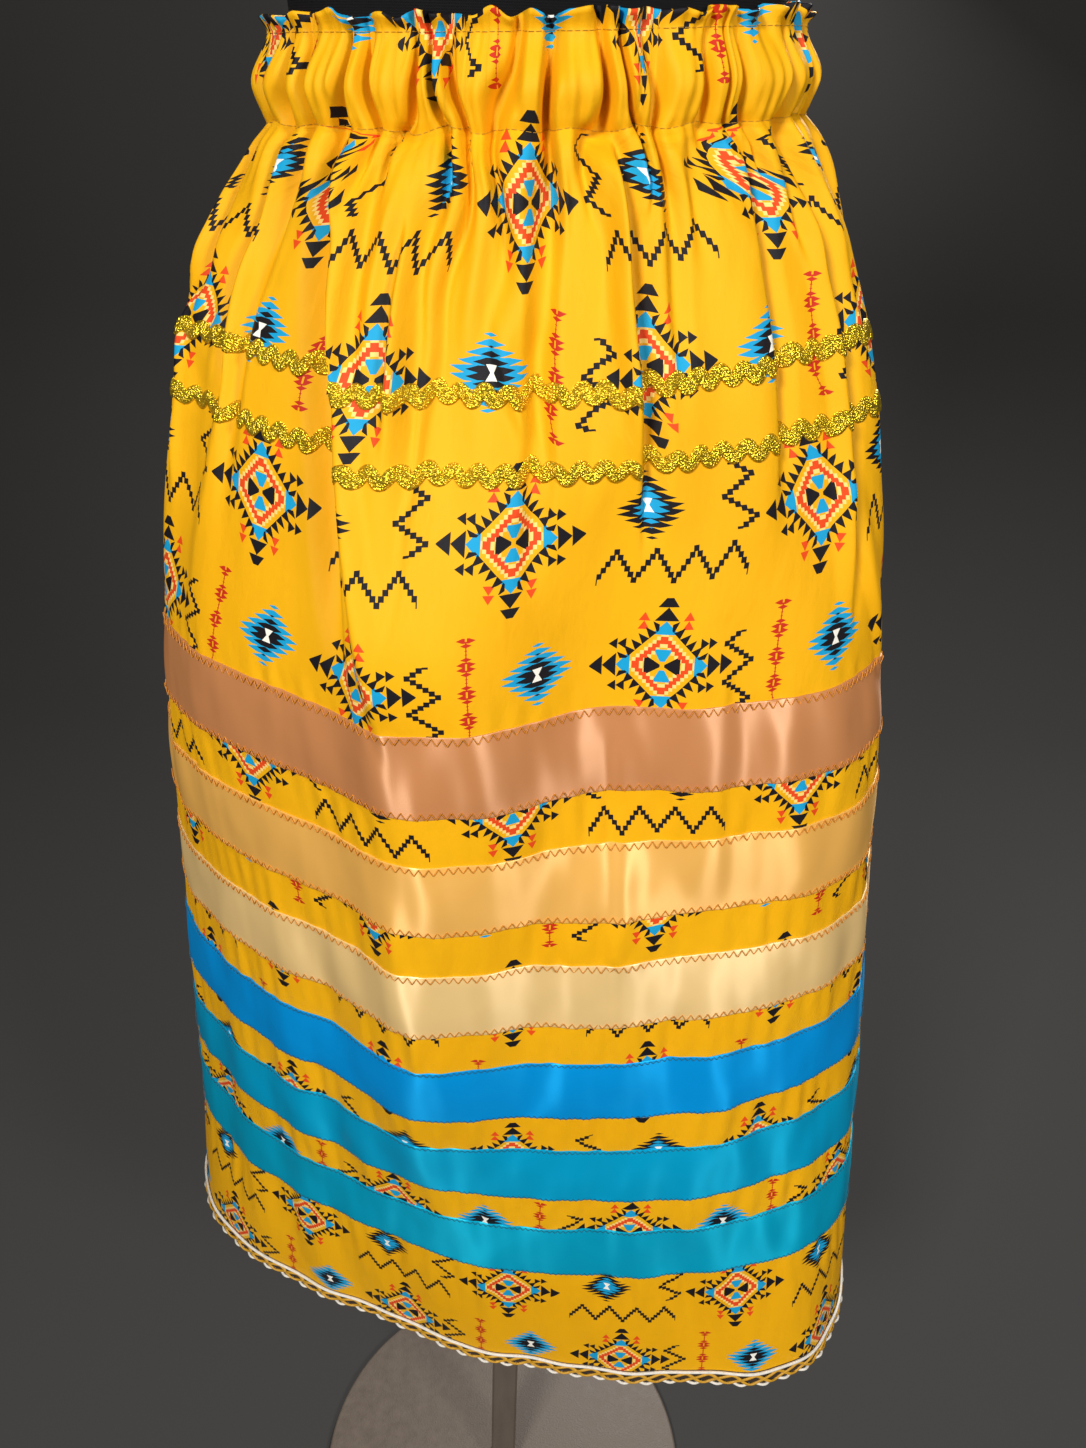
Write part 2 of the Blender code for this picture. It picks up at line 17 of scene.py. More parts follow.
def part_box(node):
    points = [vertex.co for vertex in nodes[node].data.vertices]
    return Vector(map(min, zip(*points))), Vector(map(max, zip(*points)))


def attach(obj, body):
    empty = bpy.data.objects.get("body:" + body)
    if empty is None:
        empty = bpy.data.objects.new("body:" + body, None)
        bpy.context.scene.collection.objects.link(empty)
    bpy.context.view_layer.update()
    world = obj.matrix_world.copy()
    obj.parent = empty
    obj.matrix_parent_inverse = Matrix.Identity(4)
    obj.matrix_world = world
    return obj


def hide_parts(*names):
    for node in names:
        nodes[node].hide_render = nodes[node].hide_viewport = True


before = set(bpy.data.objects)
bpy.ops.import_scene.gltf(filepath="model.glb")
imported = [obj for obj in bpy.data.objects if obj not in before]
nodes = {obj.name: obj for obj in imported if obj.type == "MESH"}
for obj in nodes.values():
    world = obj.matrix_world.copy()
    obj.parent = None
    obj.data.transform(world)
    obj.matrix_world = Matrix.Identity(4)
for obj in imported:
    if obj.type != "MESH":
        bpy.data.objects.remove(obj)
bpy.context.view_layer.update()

# %% [markdown]
# ## Sizes
#
# Cloth that hangs from a gathered waist has no simple outline, so its sizes are a short table of sections
# and a short table of folds. They are the ones that the frame was built from, apart from the gathers, which
# are fewer and wider on the fine sheet, and the top of the first fold. `down` is always the depth under the
# top edge, and `place` is the part of the girth from the front centre, going right, so -0.25 and 0.25 are
# the side seams.

# %% Sizes of the skirt
SKIRT_TOP_Z = 1.3405
SKIRT_LENGTH = 0.9015
HEADER_HEIGHT = 0.007
SEAM_DOWN = 0.045
WAIST_SLOPE = math.tan(math.radians(2.4))
LIFT_POWER = 3
RIBBON_WIDTH = 0.0508
RIBBON_PITCH = 0.0828
FIRST_RIBBON_DOWN = 0.3155
RIBBONS = ("copper", "apricot", "cream", "blue", "turquoise", "teal")
RICRAC_DOWNS = {"upper": 0.1530, "lower": 0.1880}
RICRAC_HEIGHT = 0.012
RICRAC_BAND = 0.0065
RICRAC_WAVES = 90
HEM_TRIM_HEIGHT = 0.013
GATHERS = 44
GATHER_FADE_DOWN = FIRST_RIBBON_DOWN - 0.005
SIDE_SEAMS = (GATHERS // 4, 3 * GATHERS // 4)
FORM_WAIST = (0.1255, 0.0945)
FORM_SQUARE = 2.15
OUTER_CLEARANCE = 0.0020

SECTION_COLUMNS = ("down", "half_width", "half_depth", "shift", "turn", "square", "lift")
SECTIONS = (
    (0.0000, 0.1345, 0.1015, 0.000, 0.0, 2.00, 0.0025),
    (0.0070, 0.1320, 0.0990, 0.000, 0.0, 2.00, 0.0025),
    (0.0270, 0.1385, 0.1045, 0.000, 0.0, 2.00, 0.0025),
    (0.0450, 0.1355, 0.1030, 0.000, 0.0, 2.00, 0.0025),
    (0.0550, 0.1420, 0.1090, 0.000, 0.0, 2.00, 0.0040),
    (0.0700, 0.1495, 0.1150, 0.001, 0.0, 2.00, 0.0060),
    (0.0900, 0.1575, 0.1220, 0.001, 0.0, 2.00, 0.0090),
    (0.1120, 0.1675, 0.1295, 0.000, 0.0, 2.00, 0.0120),
    (0.1500, 0.1825, 0.1405, 0.000, 0.0, 2.00, 0.0155),
    (0.1900, 0.1930, 0.1495, -0.001, 0.0, 2.00, 0.0165),
    (0.2300, 0.2005, 0.1555, -0.003, 0.0, 2.03, 0.0145),
    (0.2850, 0.2145, 0.1620, -0.004, 0.0, 2.08, 0.0085),
    (0.3155, 0.2210, 0.1640, -0.003, 0.0, 2.10, 0.0055),
    (0.3663, 0.2315, 0.1655, 0.000, -1.0, 2.05, 0.0040),
    (0.4585, 0.2430, 0.1635, 0.002, -4.0, 1.94, 0.0010),
    (0.5435, 0.2520, 0.1605, 0.003, -7.0, 1.94, 0.0000),
    (0.6275, 0.2620, 0.1565, 0.004, -9.0, 1.96, 0.0000),
    (0.7055, 0.2700, 0.1525, 0.003, -11.5, 2.00, 0.0000),
    (0.7795, 0.2760, 0.1480, 0.004, -13.0, 2.15, 0.0000),
    (0.9015, 0.2850, 0.1425, 0.007, -15.0, 2.85, 0.0000),
)
CASING_COLUMNS = ("down", "gather")
CASING_GATHERS = ((0.0, 0.0046), (0.007, 0.0032), (0.027, 0.0068), (0.045, 0.0056))

FOLD_COLUMNS = ("place_top", "place_foot", "left", "right", "rise", "top", "full", "fading", "foot")
FOLDS = (
    (-0.104, -0.042, 0.009, 0.060, 0.012, 0.042, 0.080, 0.260, 0.345),
    (-0.044, -0.050, 0.065, 0.095, 0.020, 0.150, 0.300, 0.560, 0.780),
    (0.046, 0.046, 0.060, 0.065, -0.015, 0.160, 0.310, 0.360, 0.470),
    (0.175, 0.150, 0.085, 0.075, 0.014, 0.120, 0.290, 0.420, 0.680),
    (-0.020, -0.020, 0.090, 0.090, 0.008, 0.640, 0.820, 1.100, 1.200),
    (0.100, 0.100, 0.080, 0.080, -0.007, 0.700, 0.880, 1.100, 1.200),
    (0.200, 0.196, 0.050, 0.012, 0.008, 0.045, 0.110, 0.240, 0.330),
    (0.058, 0.036, 0.012, 0.026, 0.006, 0.045, 0.080, 0.150, 0.230),
    (-0.068, -0.050, 0.024, 0.012, 0.006, 0.050, 0.110, 0.170, 0.240),
    (0.118, 0.108, 0.030, 0.026, 0.005, 0.050, 0.120, 0.200, 0.300),
    (-0.190, -0.200, 0.030, 0.020, 0.007, 0.050, 0.120, 0.220, 0.330),
    (-0.240, -0.225, 0.030, 0.034, -0.006, 0.070, 0.160, 0.300, 0.450),
    (0.305, 0.310, 0.014, 0.050, 0.009, 0.045, 0.120, 0.240, 0.400),
    (0.300, 0.290, 0.110, 0.120, -0.016, 0.380, 0.600, 1.100, 1.200),
    (0.355, 0.360, 0.045, 0.040, -0.009, 0.110, 0.240, 0.360, 0.560),
    (0.405, 0.400, 0.050, 0.014, 0.011, 0.045, 0.100, 0.250, 0.350),
    (0.455, 0.460, 0.060, 0.055, 0.012, 0.160, 0.300, 0.380, 0.600),
    (0.520, 0.525, 0.050, 0.050, -0.011, 0.150, 0.300, 0.400, 0.620),
    (0.575, 0.590, 0.014, 0.055, 0.012, 0.045, 0.100, 0.260, 0.380),
    (0.640, 0.650, 0.050, 0.050, 0.010, 0.150, 0.290, 0.370, 0.540),
    (0.700, 0.705, 0.045, 0.016, 0.009, 0.045, 0.120, 0.240, 0.360),
    (0.420, 0.425, 0.070, 0.080, 0.010, 0.480, 0.700, 0.960, 1.100),
    (0.510, 0.515, 0.075, 0.070, -0.008, 0.480, 0.720, 0.960, 1.100),
    (0.610, 0.610, 0.075, 0.080, 0.010, 0.480, 0.700, 0.960, 1.100),
)
print("tables:", len(SECTIONS), "sections,", len(FOLDS), "folds")

# %% [markdown]
# ## Creases placed one by one
#
# Between the large folds the cotton has finer marks: pinched lines that run down from the seam, soft
# troughs where the cloth sags, and little dents beside the ribbons. A simulation would put them where it
# likes. A table in the folds' own columns puts them where they were seen, and like ones on the hidden side.

# %% Finer creases
CREASES = (
    (-0.106, -0.045, 0.005, 0.012, 0.0079, 0.044, 0.060, 0.200, 0.320),
    (-0.118, -0.059, 0.016, 0.006, -0.0104, 0.048, 0.075, 0.230, 0.335),
    (-0.086, -0.078, 0.006, 0.011, -0.0068, 0.044, 0.066, 0.120, 0.190),
    (-0.060, -0.054, 0.005, 0.014, 0.0056, 0.070, 0.095, 0.140, 0.190),
    (-0.066, -0.060, 0.012, 0.005, -0.0046, 0.070, 0.100, 0.140, 0.185),
    (0.046, 0.056, 0.010, 0.004, 0.0070, 0.044, 0.060, 0.140, 0.215),
    (0.052, 0.062, 0.004, 0.014, -0.0096, 0.044, 0.062, 0.170, 0.250),
    (0.007, 0.009, 0.009, 0.011, -0.0083, 0.044, 0.068, 0.170, 0.260),
    (0.078, 0.074, 0.006, 0.009, -0.0049, 0.045, 0.070, 0.110, 0.180),
    (-0.022, -0.028, 0.009, 0.007, 0.0046, 0.045, 0.065, 0.100, 0.160),
    (0.168, 0.160, 0.010, 0.005, 0.0066, 0.050, 0.090, 0.230, 0.300),
    (0.174, 0.165, 0.005, 0.014, -0.0064, 0.050, 0.090, 0.230, 0.300),
    (0.160, 0.196, 0.007, 0.018, 0.0041, 0.200, 0.240, 0.300, 0.345),
    (0.134, 0.126, 0.007, 0.011, -0.0081, 0.045, 0.075, 0.150, 0.240),
    (-0.160, -0.148, 0.006, 0.012, -0.0060, 0.050, 0.080, 0.160, 0.260),
    (-0.205, -0.190, 0.010, 0.006, 0.0060, 0.050, 0.090, 0.170, 0.280),
    (0.218, 0.214, 0.010, 0.008, -0.0060, 0.050, 0.090, 0.170, 0.270),
    (0.276, 0.270, 0.008, 0.012, 0.0060, 0.045, 0.070, 0.140, 0.260),
    (0.292, 0.296, 0.005, 0.012, -0.0064, 0.045, 0.080, 0.180, 0.300),
    (0.330, 0.336, 0.008, 0.008, 0.0053, 0.045, 0.070, 0.110, 0.190),
    (0.374, 0.368, 0.012, 0.005, -0.0060, 0.050, 0.090, 0.200, 0.310),
    (0.418, 0.410, 0.005, 0.012, -0.0070, 0.044, 0.070, 0.160, 0.280),
    (0.442, 0.446, 0.010, 0.006, 0.0053, 0.050, 0.080, 0.120, 0.210),
    (0.488, 0.492, 0.006, 0.012, -0.0056, 0.045, 0.070, 0.130, 0.220),
    (0.534, 0.530, 0.010, 0.006, 0.0060, 0.045, 0.080, 0.190, 0.290),
    (0.568, 0.580, 0.012, 0.005, -0.0077, 0.044, 0.070, 0.170, 0.300),
    (0.612, 0.616, 0.006, 0.010, 0.0049, 0.050, 0.075, 0.110, 0.180),
    (0.662, 0.658, 0.010, 0.007, -0.0060, 0.050, 0.080, 0.150, 0.250),
    (0.716, 0.722, 0.005, 0.012, -0.0070, 0.045, 0.080, 0.180, 0.300),
    (-0.036, -0.034, 0.012, 0.020, 0.0016, 0.310, 0.345, 0.420, 0.560),
    (0.050, 0.052, 0.010, 0.016, 0.0016, 0.320, 0.350, 0.460, 0.600),
    (0.010, 0.000, 0.030, 0.030, -0.0018, 0.380, 0.460, 0.560, 0.700),
    (-0.110, -0.120, 0.030, 0.030, 0.0018, 0.400, 0.500, 0.660, 0.800),
    (-0.180, -0.186, 0.030, 0.025, -0.0022, 0.360, 0.480, 0.700, 0.860),
    (0.100, 0.096, 0.030, 0.040, 0.0018, 0.420, 0.520, 0.640, 0.800),
    (0.190, 0.186, 0.030, 0.030, 0.0020, 0.440, 0.560, 0.760, 0.880),
    (0.370, 0.380, 0.030, 0.030, -0.0022, 0.380, 0.500, 0.700, 0.860),
    (0.470, 0.466, 0.030, 0.030, 0.0020, 0.420, 0.540, 0.700, 0.860),
    (0.560, 0.566, 0.030, 0.030, -0.0020, 0.400, 0.500, 0.680, 0.840),
    (0.660, 0.668, 0.030, 0.030, 0.0022, 0.420, 0.540, 0.720, 0.860),
)
print("creases:", len(CREASES))

# %% [markdown]
# ## One surface for every layer
#
# `skirt(place, down, out)` gives points of the cloth's outer face. It looks up the section at that level,
# then moves the point outwards by the gathers, the folds, the creases and a little unevenness. A ribbon is
# the same surface a fraction of a millimetre further out, so nothing has to be fitted afterwards. Arrays
# from NumPy give many thousand points at once, where a loop over single points would take minutes.

# %% Reading a table
def smooth_step(low, high, value):
    """0 below low, 1 above high, smooth between."""
    t = np.clip((value - low) / (high - low), 0.0, 1.0)
    return t * t * (3 - 2 * t)


def read_table(rows, columns, name, down):
    """One column of a table at many levels, on smooth curves through its rows."""
    table = np.array(rows)
    levels, values = table[:, 0], table[:, columns.index(name)]
    down = np.clip(down, levels[0], levels[-1])
    at = np.clip(np.searchsorted(levels, down, side="right") - 1, 0, len(levels) - 2)
    before, after = np.maximum(at - 1, 0), np.minimum(at + 2, len(levels) - 1)
    span = levels[at + 1] - levels[at]
    slope_in = (values[at + 1] - values[before]) / (levels[at + 1] - levels[before])
    slope_out = (values[after] - values[at]) / (levels[after] - levels[at])
    t = (down - levels[at]) / span
    return (
        values[at] * (1 + 2 * t) * (1 - t) ** 2
        + values[at + 1] * t * t * (3 - 2 * t)
        + slope_in * span * t * (1 - t) ** 2
        - slope_out * span * t * t * (1 - t)
    )


# %% The sections, looked up
TABLE_STEP = 0.0025
TABLE_PLACES = 1440


def section_line(half_width, half_depth, shift, turn, square):
    """Points and outward directions of one section, evenly spaced along its girth, and the girth."""
    angle = np.linspace(-math.pi / 2, 1.5 * math.pi, TABLE_PLACES + 1)
    seen = angle - math.radians(turn)
    along = np.abs(np.cos(seen) / half_width) ** square + np.abs(np.sin(seen) / half_depth) ** square
    radius = along ** (-1 / square)
    line = np.stack([shift + radius * np.cos(angle), radius * np.sin(angle)], -1)
    girths = np.concatenate([[0.0], np.cumsum(np.linalg.norm(np.diff(line, axis=0), axis=1))])
    even = np.linspace(0, girths[-1], TABLE_PLACES + 1)
    line = np.stack([np.interp(even, girths, line[:, axis]) for axis in (0, 1)], -1)
    step = np.roll(line[:-1], -1, 0) - np.roll(line[:-1], 1, 0)
    step = np.concatenate([step, step[:1]]) / np.linalg.norm(step, axis=1).mean()
    return np.concatenate([line, np.stack([step[:, 1], -step[:, 0]], -1)], 1), girths[-1]


table_downs = np.arange(0.0, SKIRT_LENGTH + TABLE_STEP, TABLE_STEP)
made = []
for level in table_downs:
    sizes = [float(read_table(SECTIONS, SECTION_COLUMNS, name, level)) for name in SECTION_COLUMNS[1:6]]
    made.append(section_line(*sizes))
surface_table = np.stack([line for line, _ in made])
girth_table = np.array([girth for _, girth in made])
print("girth at seam, first ribbon and hem:", [round(float(np.interp(level, table_downs, girth_table)), 3)
                                               for level in (SEAM_DOWN, FIRST_RIBBON_DOWN, SKIRT_LENGTH)])


def look_up(place, down):
    """Position and outward direction of the plain section at many places and levels."""
    row = np.clip(down / TABLE_STEP, 0, len(table_downs) - 1.001)
    column = np.minimum(place % 1.0, 0.999999) * TABLE_PLACES
    r, c = row.astype(int), column.astype(int)
    rt, ct = (row - r)[..., None], (column - c)[..., None]
    upper = surface_table[r, c] * (1 - ct) + surface_table[r, c + 1] * ct
    lower = surface_table[r + 1, c] * (1 - ct) + surface_table[r + 1, c + 1] * ct
    return upper * (1 - rt) + lower * rt


# %% Gathers
def uneven(place, down, seed, rounds, runs, count=9):
    """Soft noise from -1 to 1: rounds is the range of waves round the girth, runs of waves per metre down."""
    chance = random.Random(seed)
    total = 0.0
    for _ in range(count):
        around, along = chance.randint(*rounds), chance.uniform(-runs, runs)
        total = total + np.sin(2 * np.pi * (around * place + along * down + chance.random()))
    return total / math.sqrt(count)


def gather_ridges():
    """Places of the gathers' ridges, unevenly spaced, with one on each side seam."""
    chance = random.Random(11)
    drifts = [0.0 if gather in SIDE_SEAMS else chance.uniform(-0.33, 0.33) for gather in range(GATHERS)]
    return np.array([(gather + drift) / GATHERS for gather, drift in enumerate(drifts)])


def gather_traits():
    """How far each gather stands out, and how far down it runs."""
    chance = random.Random(23)
    return np.array([(chance.uniform(0.55, 1.25), chance.uniform(0.35, 1.0)) for _ in range(GATHERS)])


RIDGES, TRAITS = gather_ridges(), gather_traits()
RIDGE_LINE = np.concatenate([RIDGES - 1, RIDGES, RIDGES + 1])
LOOSE_SHARPNESS, PINCHED_SHARPNESS = 2.2, 6.5


def sway(place, down):
    """How far a gather slants to the side, as a part of the girth. It jumps where the seam pins the cloth."""
    wander = 0.0062 * uneven(place, down, 17, (6, 20), 15.0)
    jump = 0.0045 * uneven(place, 0.0, 19, (9, 26), 0.0) * np.tanh((down - SEAM_DOWN) / 0.006)
    return (wander + jump) * (1 - smooth_step(0.16, 0.30, down))


def gathers(place, down):
    """How far the gathers move the cloth: broad ridges and narrow creases, sharpest at the seam."""
    swayed = (place + sway(place, down)) % 1.0
    found = np.searchsorted(RIDGE_LINE, swayed, side="right") - 1
    phase = (swayed - RIDGE_LINE[found]) / (RIDGE_LINE[found + 1] - RIDGE_LINE[found])
    near, far = TRAITS[found % GATHERS], TRAITS[(found + 1) % GATHERS]
    stand = near[..., 0] * (1 - phase) + far[..., 0] * phase
    reach = near[..., 1] * (1 - phase) + far[..., 1] * phase
    length = 0.018 + reach ** 3.4 * (GATHER_FADE_DOWN - SEAM_DOWN)
    fade = 1 - smooth_step(SEAM_DOWN, SEAM_DOWN + length, down)
    rise = read_table(CASING_GATHERS, CASING_COLUMNS, "gather", down)
    pinch = np.exp(-np.maximum(down - SEAM_DOWN, 0.0) / 0.035)
    sharpness = LOOSE_SHARPNESS + (PINCHED_SHARPNESS - LOOSE_SHARPNESS) * pinch
    wave = 1 - 2 * np.abs(np.sin(np.pi * phase)) ** sharpness
    return rise * stand * fade * wave * (1 + 0.35 * pinch * (wave < 0))


# %% Folds, creases and wrinkles
def folds(place, down, girth):
    """How far the large folds and the finer creases move the cloth."""
    total = np.zeros(np.broadcast(place, down).shape)
    for row in FOLDS + CREASES:
        fold = dict(zip(FOLD_COLUMNS, row))
        part = np.clip((down - fold["top"]) / (fold["foot"] - fold["top"]), 0, 1)
        centre = fold["place_top"] + (fold["place_foot"] - fold["place_top"]) * part
        away = ((place - centre + 0.5) % 1.0 - 0.5) * girth
        flank = np.clip(np.where(away > 0, away / fold["right"], away / fold["left"]), -1, 1)
        swell = smooth_step(fold["top"], fold["full"], down)
        fade = 1 - smooth_step(fold["fading"], fold["foot"], down)
        total += fold["rise"] * swell * fade * np.cos(np.pi * flank / 2) ** 2
    return total


def ribbon_share(down):
    """1 on a ribbon, 0 between ribbons and above them, with soft edges."""
    share = np.zeros(np.shape(down))
    for number in range(len(RIBBONS)):
        middle = FIRST_RIBBON_DOWN + RIBBON_PITCH * number + RIBBON_WIDTH / 2
        share = np.maximum(share, 1 - smooth_step(0.45, 0.55, np.abs(down - middle) / RIBBON_WIDTH))
    return share


def small_wrinkles(place, down):
    """The last millimetre: the cloth's own unevenness, and puckers that the ribbons' stitching pulls."""
    below = smooth_step(SEAM_DOWN, SEAM_DOWN + 0.06, down)
    soft = 0.0010 * uneven(place, down, 3, (6, 34), 7.0) * below
    banded = smooth_step(FIRST_RIBBON_DOWN - 0.02, FIRST_RIBBON_DOWN, down)
    banded = banded * (1 - smooth_step(0.80, 0.86, down))
    pucker = 0.0006 * uneven(place, down, 5, (40, 110), 9.0) * banded * (1 - 0.9 * ribbon_share(down))
    pinched = (1 - below) * 0.0005 * uneven(place, down, 8, (60, 130), 24.0)
    groove = -0.0014 * np.exp(-(((down - SEAM_DOWN) / 0.0022) ** 2))
    return soft + pucker + pinched + groove


# %% The surface itself
header_chance = random.Random(37)
HEADER_WAVES = np.array([header_chance.uniform(-0.0024, 0.0024) for _ in range(2 * GATHERS)])


def header_lift(place, down):
    """The wavy top edge of the header ruffle."""
    spot = (place % 1.0) * len(HEADER_WAVES)
    at = spot.astype(int)
    t = smooth_step(0, 1, spot - at)
    wave = HEADER_WAVES[at % len(HEADER_WAVES)] * (1 - t) + HEADER_WAVES[(at + 1) % len(HEADER_WAVES)] * t
    return wave * (1 - smooth_step(0.0, HEADER_HEIGHT, down))


def seam_drift(place, down):
    """Small rises and dips of the seam, where the gathers pull it unevenly."""
    near = np.exp(-(((down - SEAM_DOWN) / 0.012) ** 2))
    return 0.0011 * near * uneven(place, 0.0, 29, (8, 34), 0.0)


def level_height(x, y, down):
    """Height of a level, with the slope of the waist and the lift at its sides."""
    slope = 1 - smooth_step(SEAM_DOWN, FIRST_RIBBON_DOWN, down)
    depth = read_table(SECTIONS, SECTION_COLUMNS, "half_depth", np.maximum(down, SEAM_DOWN))
    lift = read_table(SECTIONS, SECTION_COLUMNS, "lift", down)
    sideways = 1 - np.minimum(np.abs(y / depth), 1.0) ** LIFT_POWER
    return SKIRT_TOP_Z - down + slope * WAIST_SLOPE * x + lift * sideways


def clear_of_form(x, y, clearance):
    """Factors that push points out to a clearance from the form's waist, where they would lie inside it."""
    width, depth = FORM_WAIST[0] + clearance, FORM_WAIST[1] + clearance
    share = (np.abs(x / width) ** FORM_SQUARE + np.abs(y / depth) ** FORM_SQUARE) ** (1 / FORM_SQUARE)
    return np.maximum(1.0, 1.0 / share)


def skirt(place, down, out=0.0):
    """Points of the cloth's outer face, moved out by the layers under what is being made."""
    place, down, out = np.broadcast_arrays(place, down, np.asarray(out, float))
    plain = look_up(place, down)
    girth = np.interp(down, table_downs, girth_table)
    reach = gathers(place, down) + folds(place, down, girth) + small_wrinkles(place, down) + out
    x, y = plain[..., 0] + plain[..., 2] * reach, plain[..., 1] + plain[..., 3] * reach
    push = clear_of_form(x, y, OUTER_CLEARANCE + np.minimum(out, 0.0))
    x, y = x * push, y * push
    height = level_height(x, y, down) + header_lift(place, down) + seam_drift(place, down)
    return np.stack([x, y, height], -1)


def skirt_outward(place, down, step=0.0004):
    """Direction straight out of the cloth, from the slopes of the surface."""
    girth = np.interp(down, table_downs, girth_table)
    right = skirt(place + step / girth, down) - skirt(place - step / girth, down)
    up = skirt(place, down - step) - skirt(place, down + step)
    out = np.cross(right, up)
    return out / np.linalg.norm(out, axis=-1, keepdims=True)


front = skirt(np.array([0.0]), np.array([0.5]))[0]
print("front of the cloth 0.5 m down:", [round(float(x), 4) for x in front])

# %% [markdown]
# ## Meshes from rows of points
#
# A woven sheet is a grid of threads, so its mesh is a grid too. Each block below has its points in rows from
# the top down and in columns to the right as seen from outside, which makes every face point outwards. The
# UV map holds metres of flat cloth: across, the length along the row with all its gathers, and down, the
# depth. A print laid on that map is swallowed by the gathers just as a real one is.

# %% Mesh helpers
def tell(piece):
    """Print what a piece is made of."""
    sides = np.zeros(len(piece.data.polygons), int)
    piece.data.polygons.foreach_get("loop_total", sides)
    print(f"{piece.name}: {int((sides - 2).sum())} triangles")
    return piece


def grid_faces(rows, columns, first=0, closed=False):
    """Corner numbers of a grid's faces, with the columns joined into a ring where closed."""
    numbers = first + np.arange(rows * columns).reshape(rows, columns)
    if closed:
        numbers = np.concatenate([numbers, numbers[:, :1]], 1)
    corners = (numbers[:-1, :-1], numbers[1:, :-1], numbers[1:, 1:], numbers[:-1, 1:])
    return np.stack(corners, -1).reshape(-1, 4)


def cloth_mesh(name, blocks, finish):
    """One mesh from blocks of points and their UVs, shaded smooth, in its finish."""
    points, faces, uvs = [], [], []
    first = 0
    for block, uv in blocks:
        rows, columns = block.shape[:2]
        points.append(block.reshape(-1, 3))
        corners = grid_faces(rows, columns)
        uvs.append(uv.reshape(-1, 2)[corners.ravel()])
        faces.append(corners + first)
        first += rows * columns
    mesh = bpy.data.meshes.new(name)
    mesh.from_pydata(np.concatenate(points).tolist(), [], np.concatenate(faces).tolist())
    mesh.uv_layers.new(name="UVMap").data.foreach_set("uv", np.concatenate(uvs).astype(np.float32).ravel())
    mesh.shade_smooth()
    mesh.materials.append(finish)
    piece = bpy.data.objects.new(name, mesh)
    bpy.context.scene.collection.objects.link(piece)
    return tell(piece)


def row_lengths(block, centre):
    """Length of cloth from one column to each other one, along every row."""
    steps = np.linalg.norm(np.diff(block, axis=1), axis=-1)
    lengths = np.concatenate([np.zeros((len(block), 1)), np.cumsum(steps, axis=1)], 1)
    return lengths - lengths[:, centre:centre + 1]


# %% [markdown]
# ## Camera, floor and light
#
# The camera stands where the photographer stood: a little above the waist, close, looking 30 degrees down
# and turned 2 degrees about its own axis. Its place is fixed in the skirt's own metres, and its focal
# length gives the same angle of view. Two soft lights stand left and right of the camera, high up, the left
# one stronger. They model the gathers, give the satin its pale upright gleams, and leave the hem darker. A
# third light behind keeps the back readable. The floor is dark, so that it throws little light back up.

# %% Camera
CAMERA_PLACE = Vector((0.0155, -0.675, 1.32))
CAMERA_TILT, CAMERA_ROLL = math.radians(60), math.radians(2)
SENSOR, FOCAL_PIXELS, PHOTO_HEIGHT = 36.0, 1136.0, 1448.0
camera = bpy.data.objects.new("camera", bpy.data.cameras.new("camera"))
camera.data.sensor_width = SENSOR
camera.data.lens = SENSOR * FOCAL_PIXELS / PHOTO_HEIGHT
camera.matrix_world = (
    Matrix.Translation(CAMERA_PLACE) @ Matrix.Rotation(CAMERA_TILT, 4, "X") @ Matrix.Rotation(CAMERA_ROLL, 4,
                                                                                              "Z")
)
bpy.context.scene.collection.objects.link(camera)
bpy.context.scene.camera = camera
bpy.context.scene.view_settings.view_transform = "Standard"
print("lens", round(camera.data.lens, 2), "mm")


# %% Lights
def soft_light(name, place, target, size, power, colour=(1.0, 1.0, 1.0)):
    """A square light panel that faces a point."""
    light = bpy.data.lights.new(name, "AREA")
    light.size, light.energy, light.color = size, power, colour
    holder = bpy.data.objects.new(name, light)
    holder.location = place
    holder.rotation_euler = (Vector(target) - Vector(place)).to_track_quat("-Z", "Y").to_euler()
    bpy.context.scene.collection.objects.link(holder)


SKIRT_MIDDLE = (0.0, 0.0, 0.95)
soft_light("left_key", (-0.85, -2.00, 2.30), SKIRT_MIDDLE, 0.50, 61.0, (1.0, 0.97, 0.92))
soft_light("right_key", (1.35, -1.75, 2.00), SKIRT_MIDDLE, 0.45, 31.0, (1.0, 0.97, 0.93))
soft_light("back_fill", (0.8, 1.9, 2.3), SKIRT_MIDDLE, 0.9, 55.0, (1.0, 0.97, 0.93))
world = bpy.context.scene.world or bpy.data.worlds.new("world")
bpy.context.scene.world = world
world.use_nodes = True
world.node_tree.nodes["Background"].inputs["Color"].default_value = (0.90, 0.93, 1.0, 1.0)
world.node_tree.nodes["Background"].inputs["Strength"].default_value = 0.07

# %% Floor
FLOOR_REACH, BACKDROP_START, BACKDROP_ROUND, BACKDROP_TOP = 4.0, 1.6, 0.8, 3.4


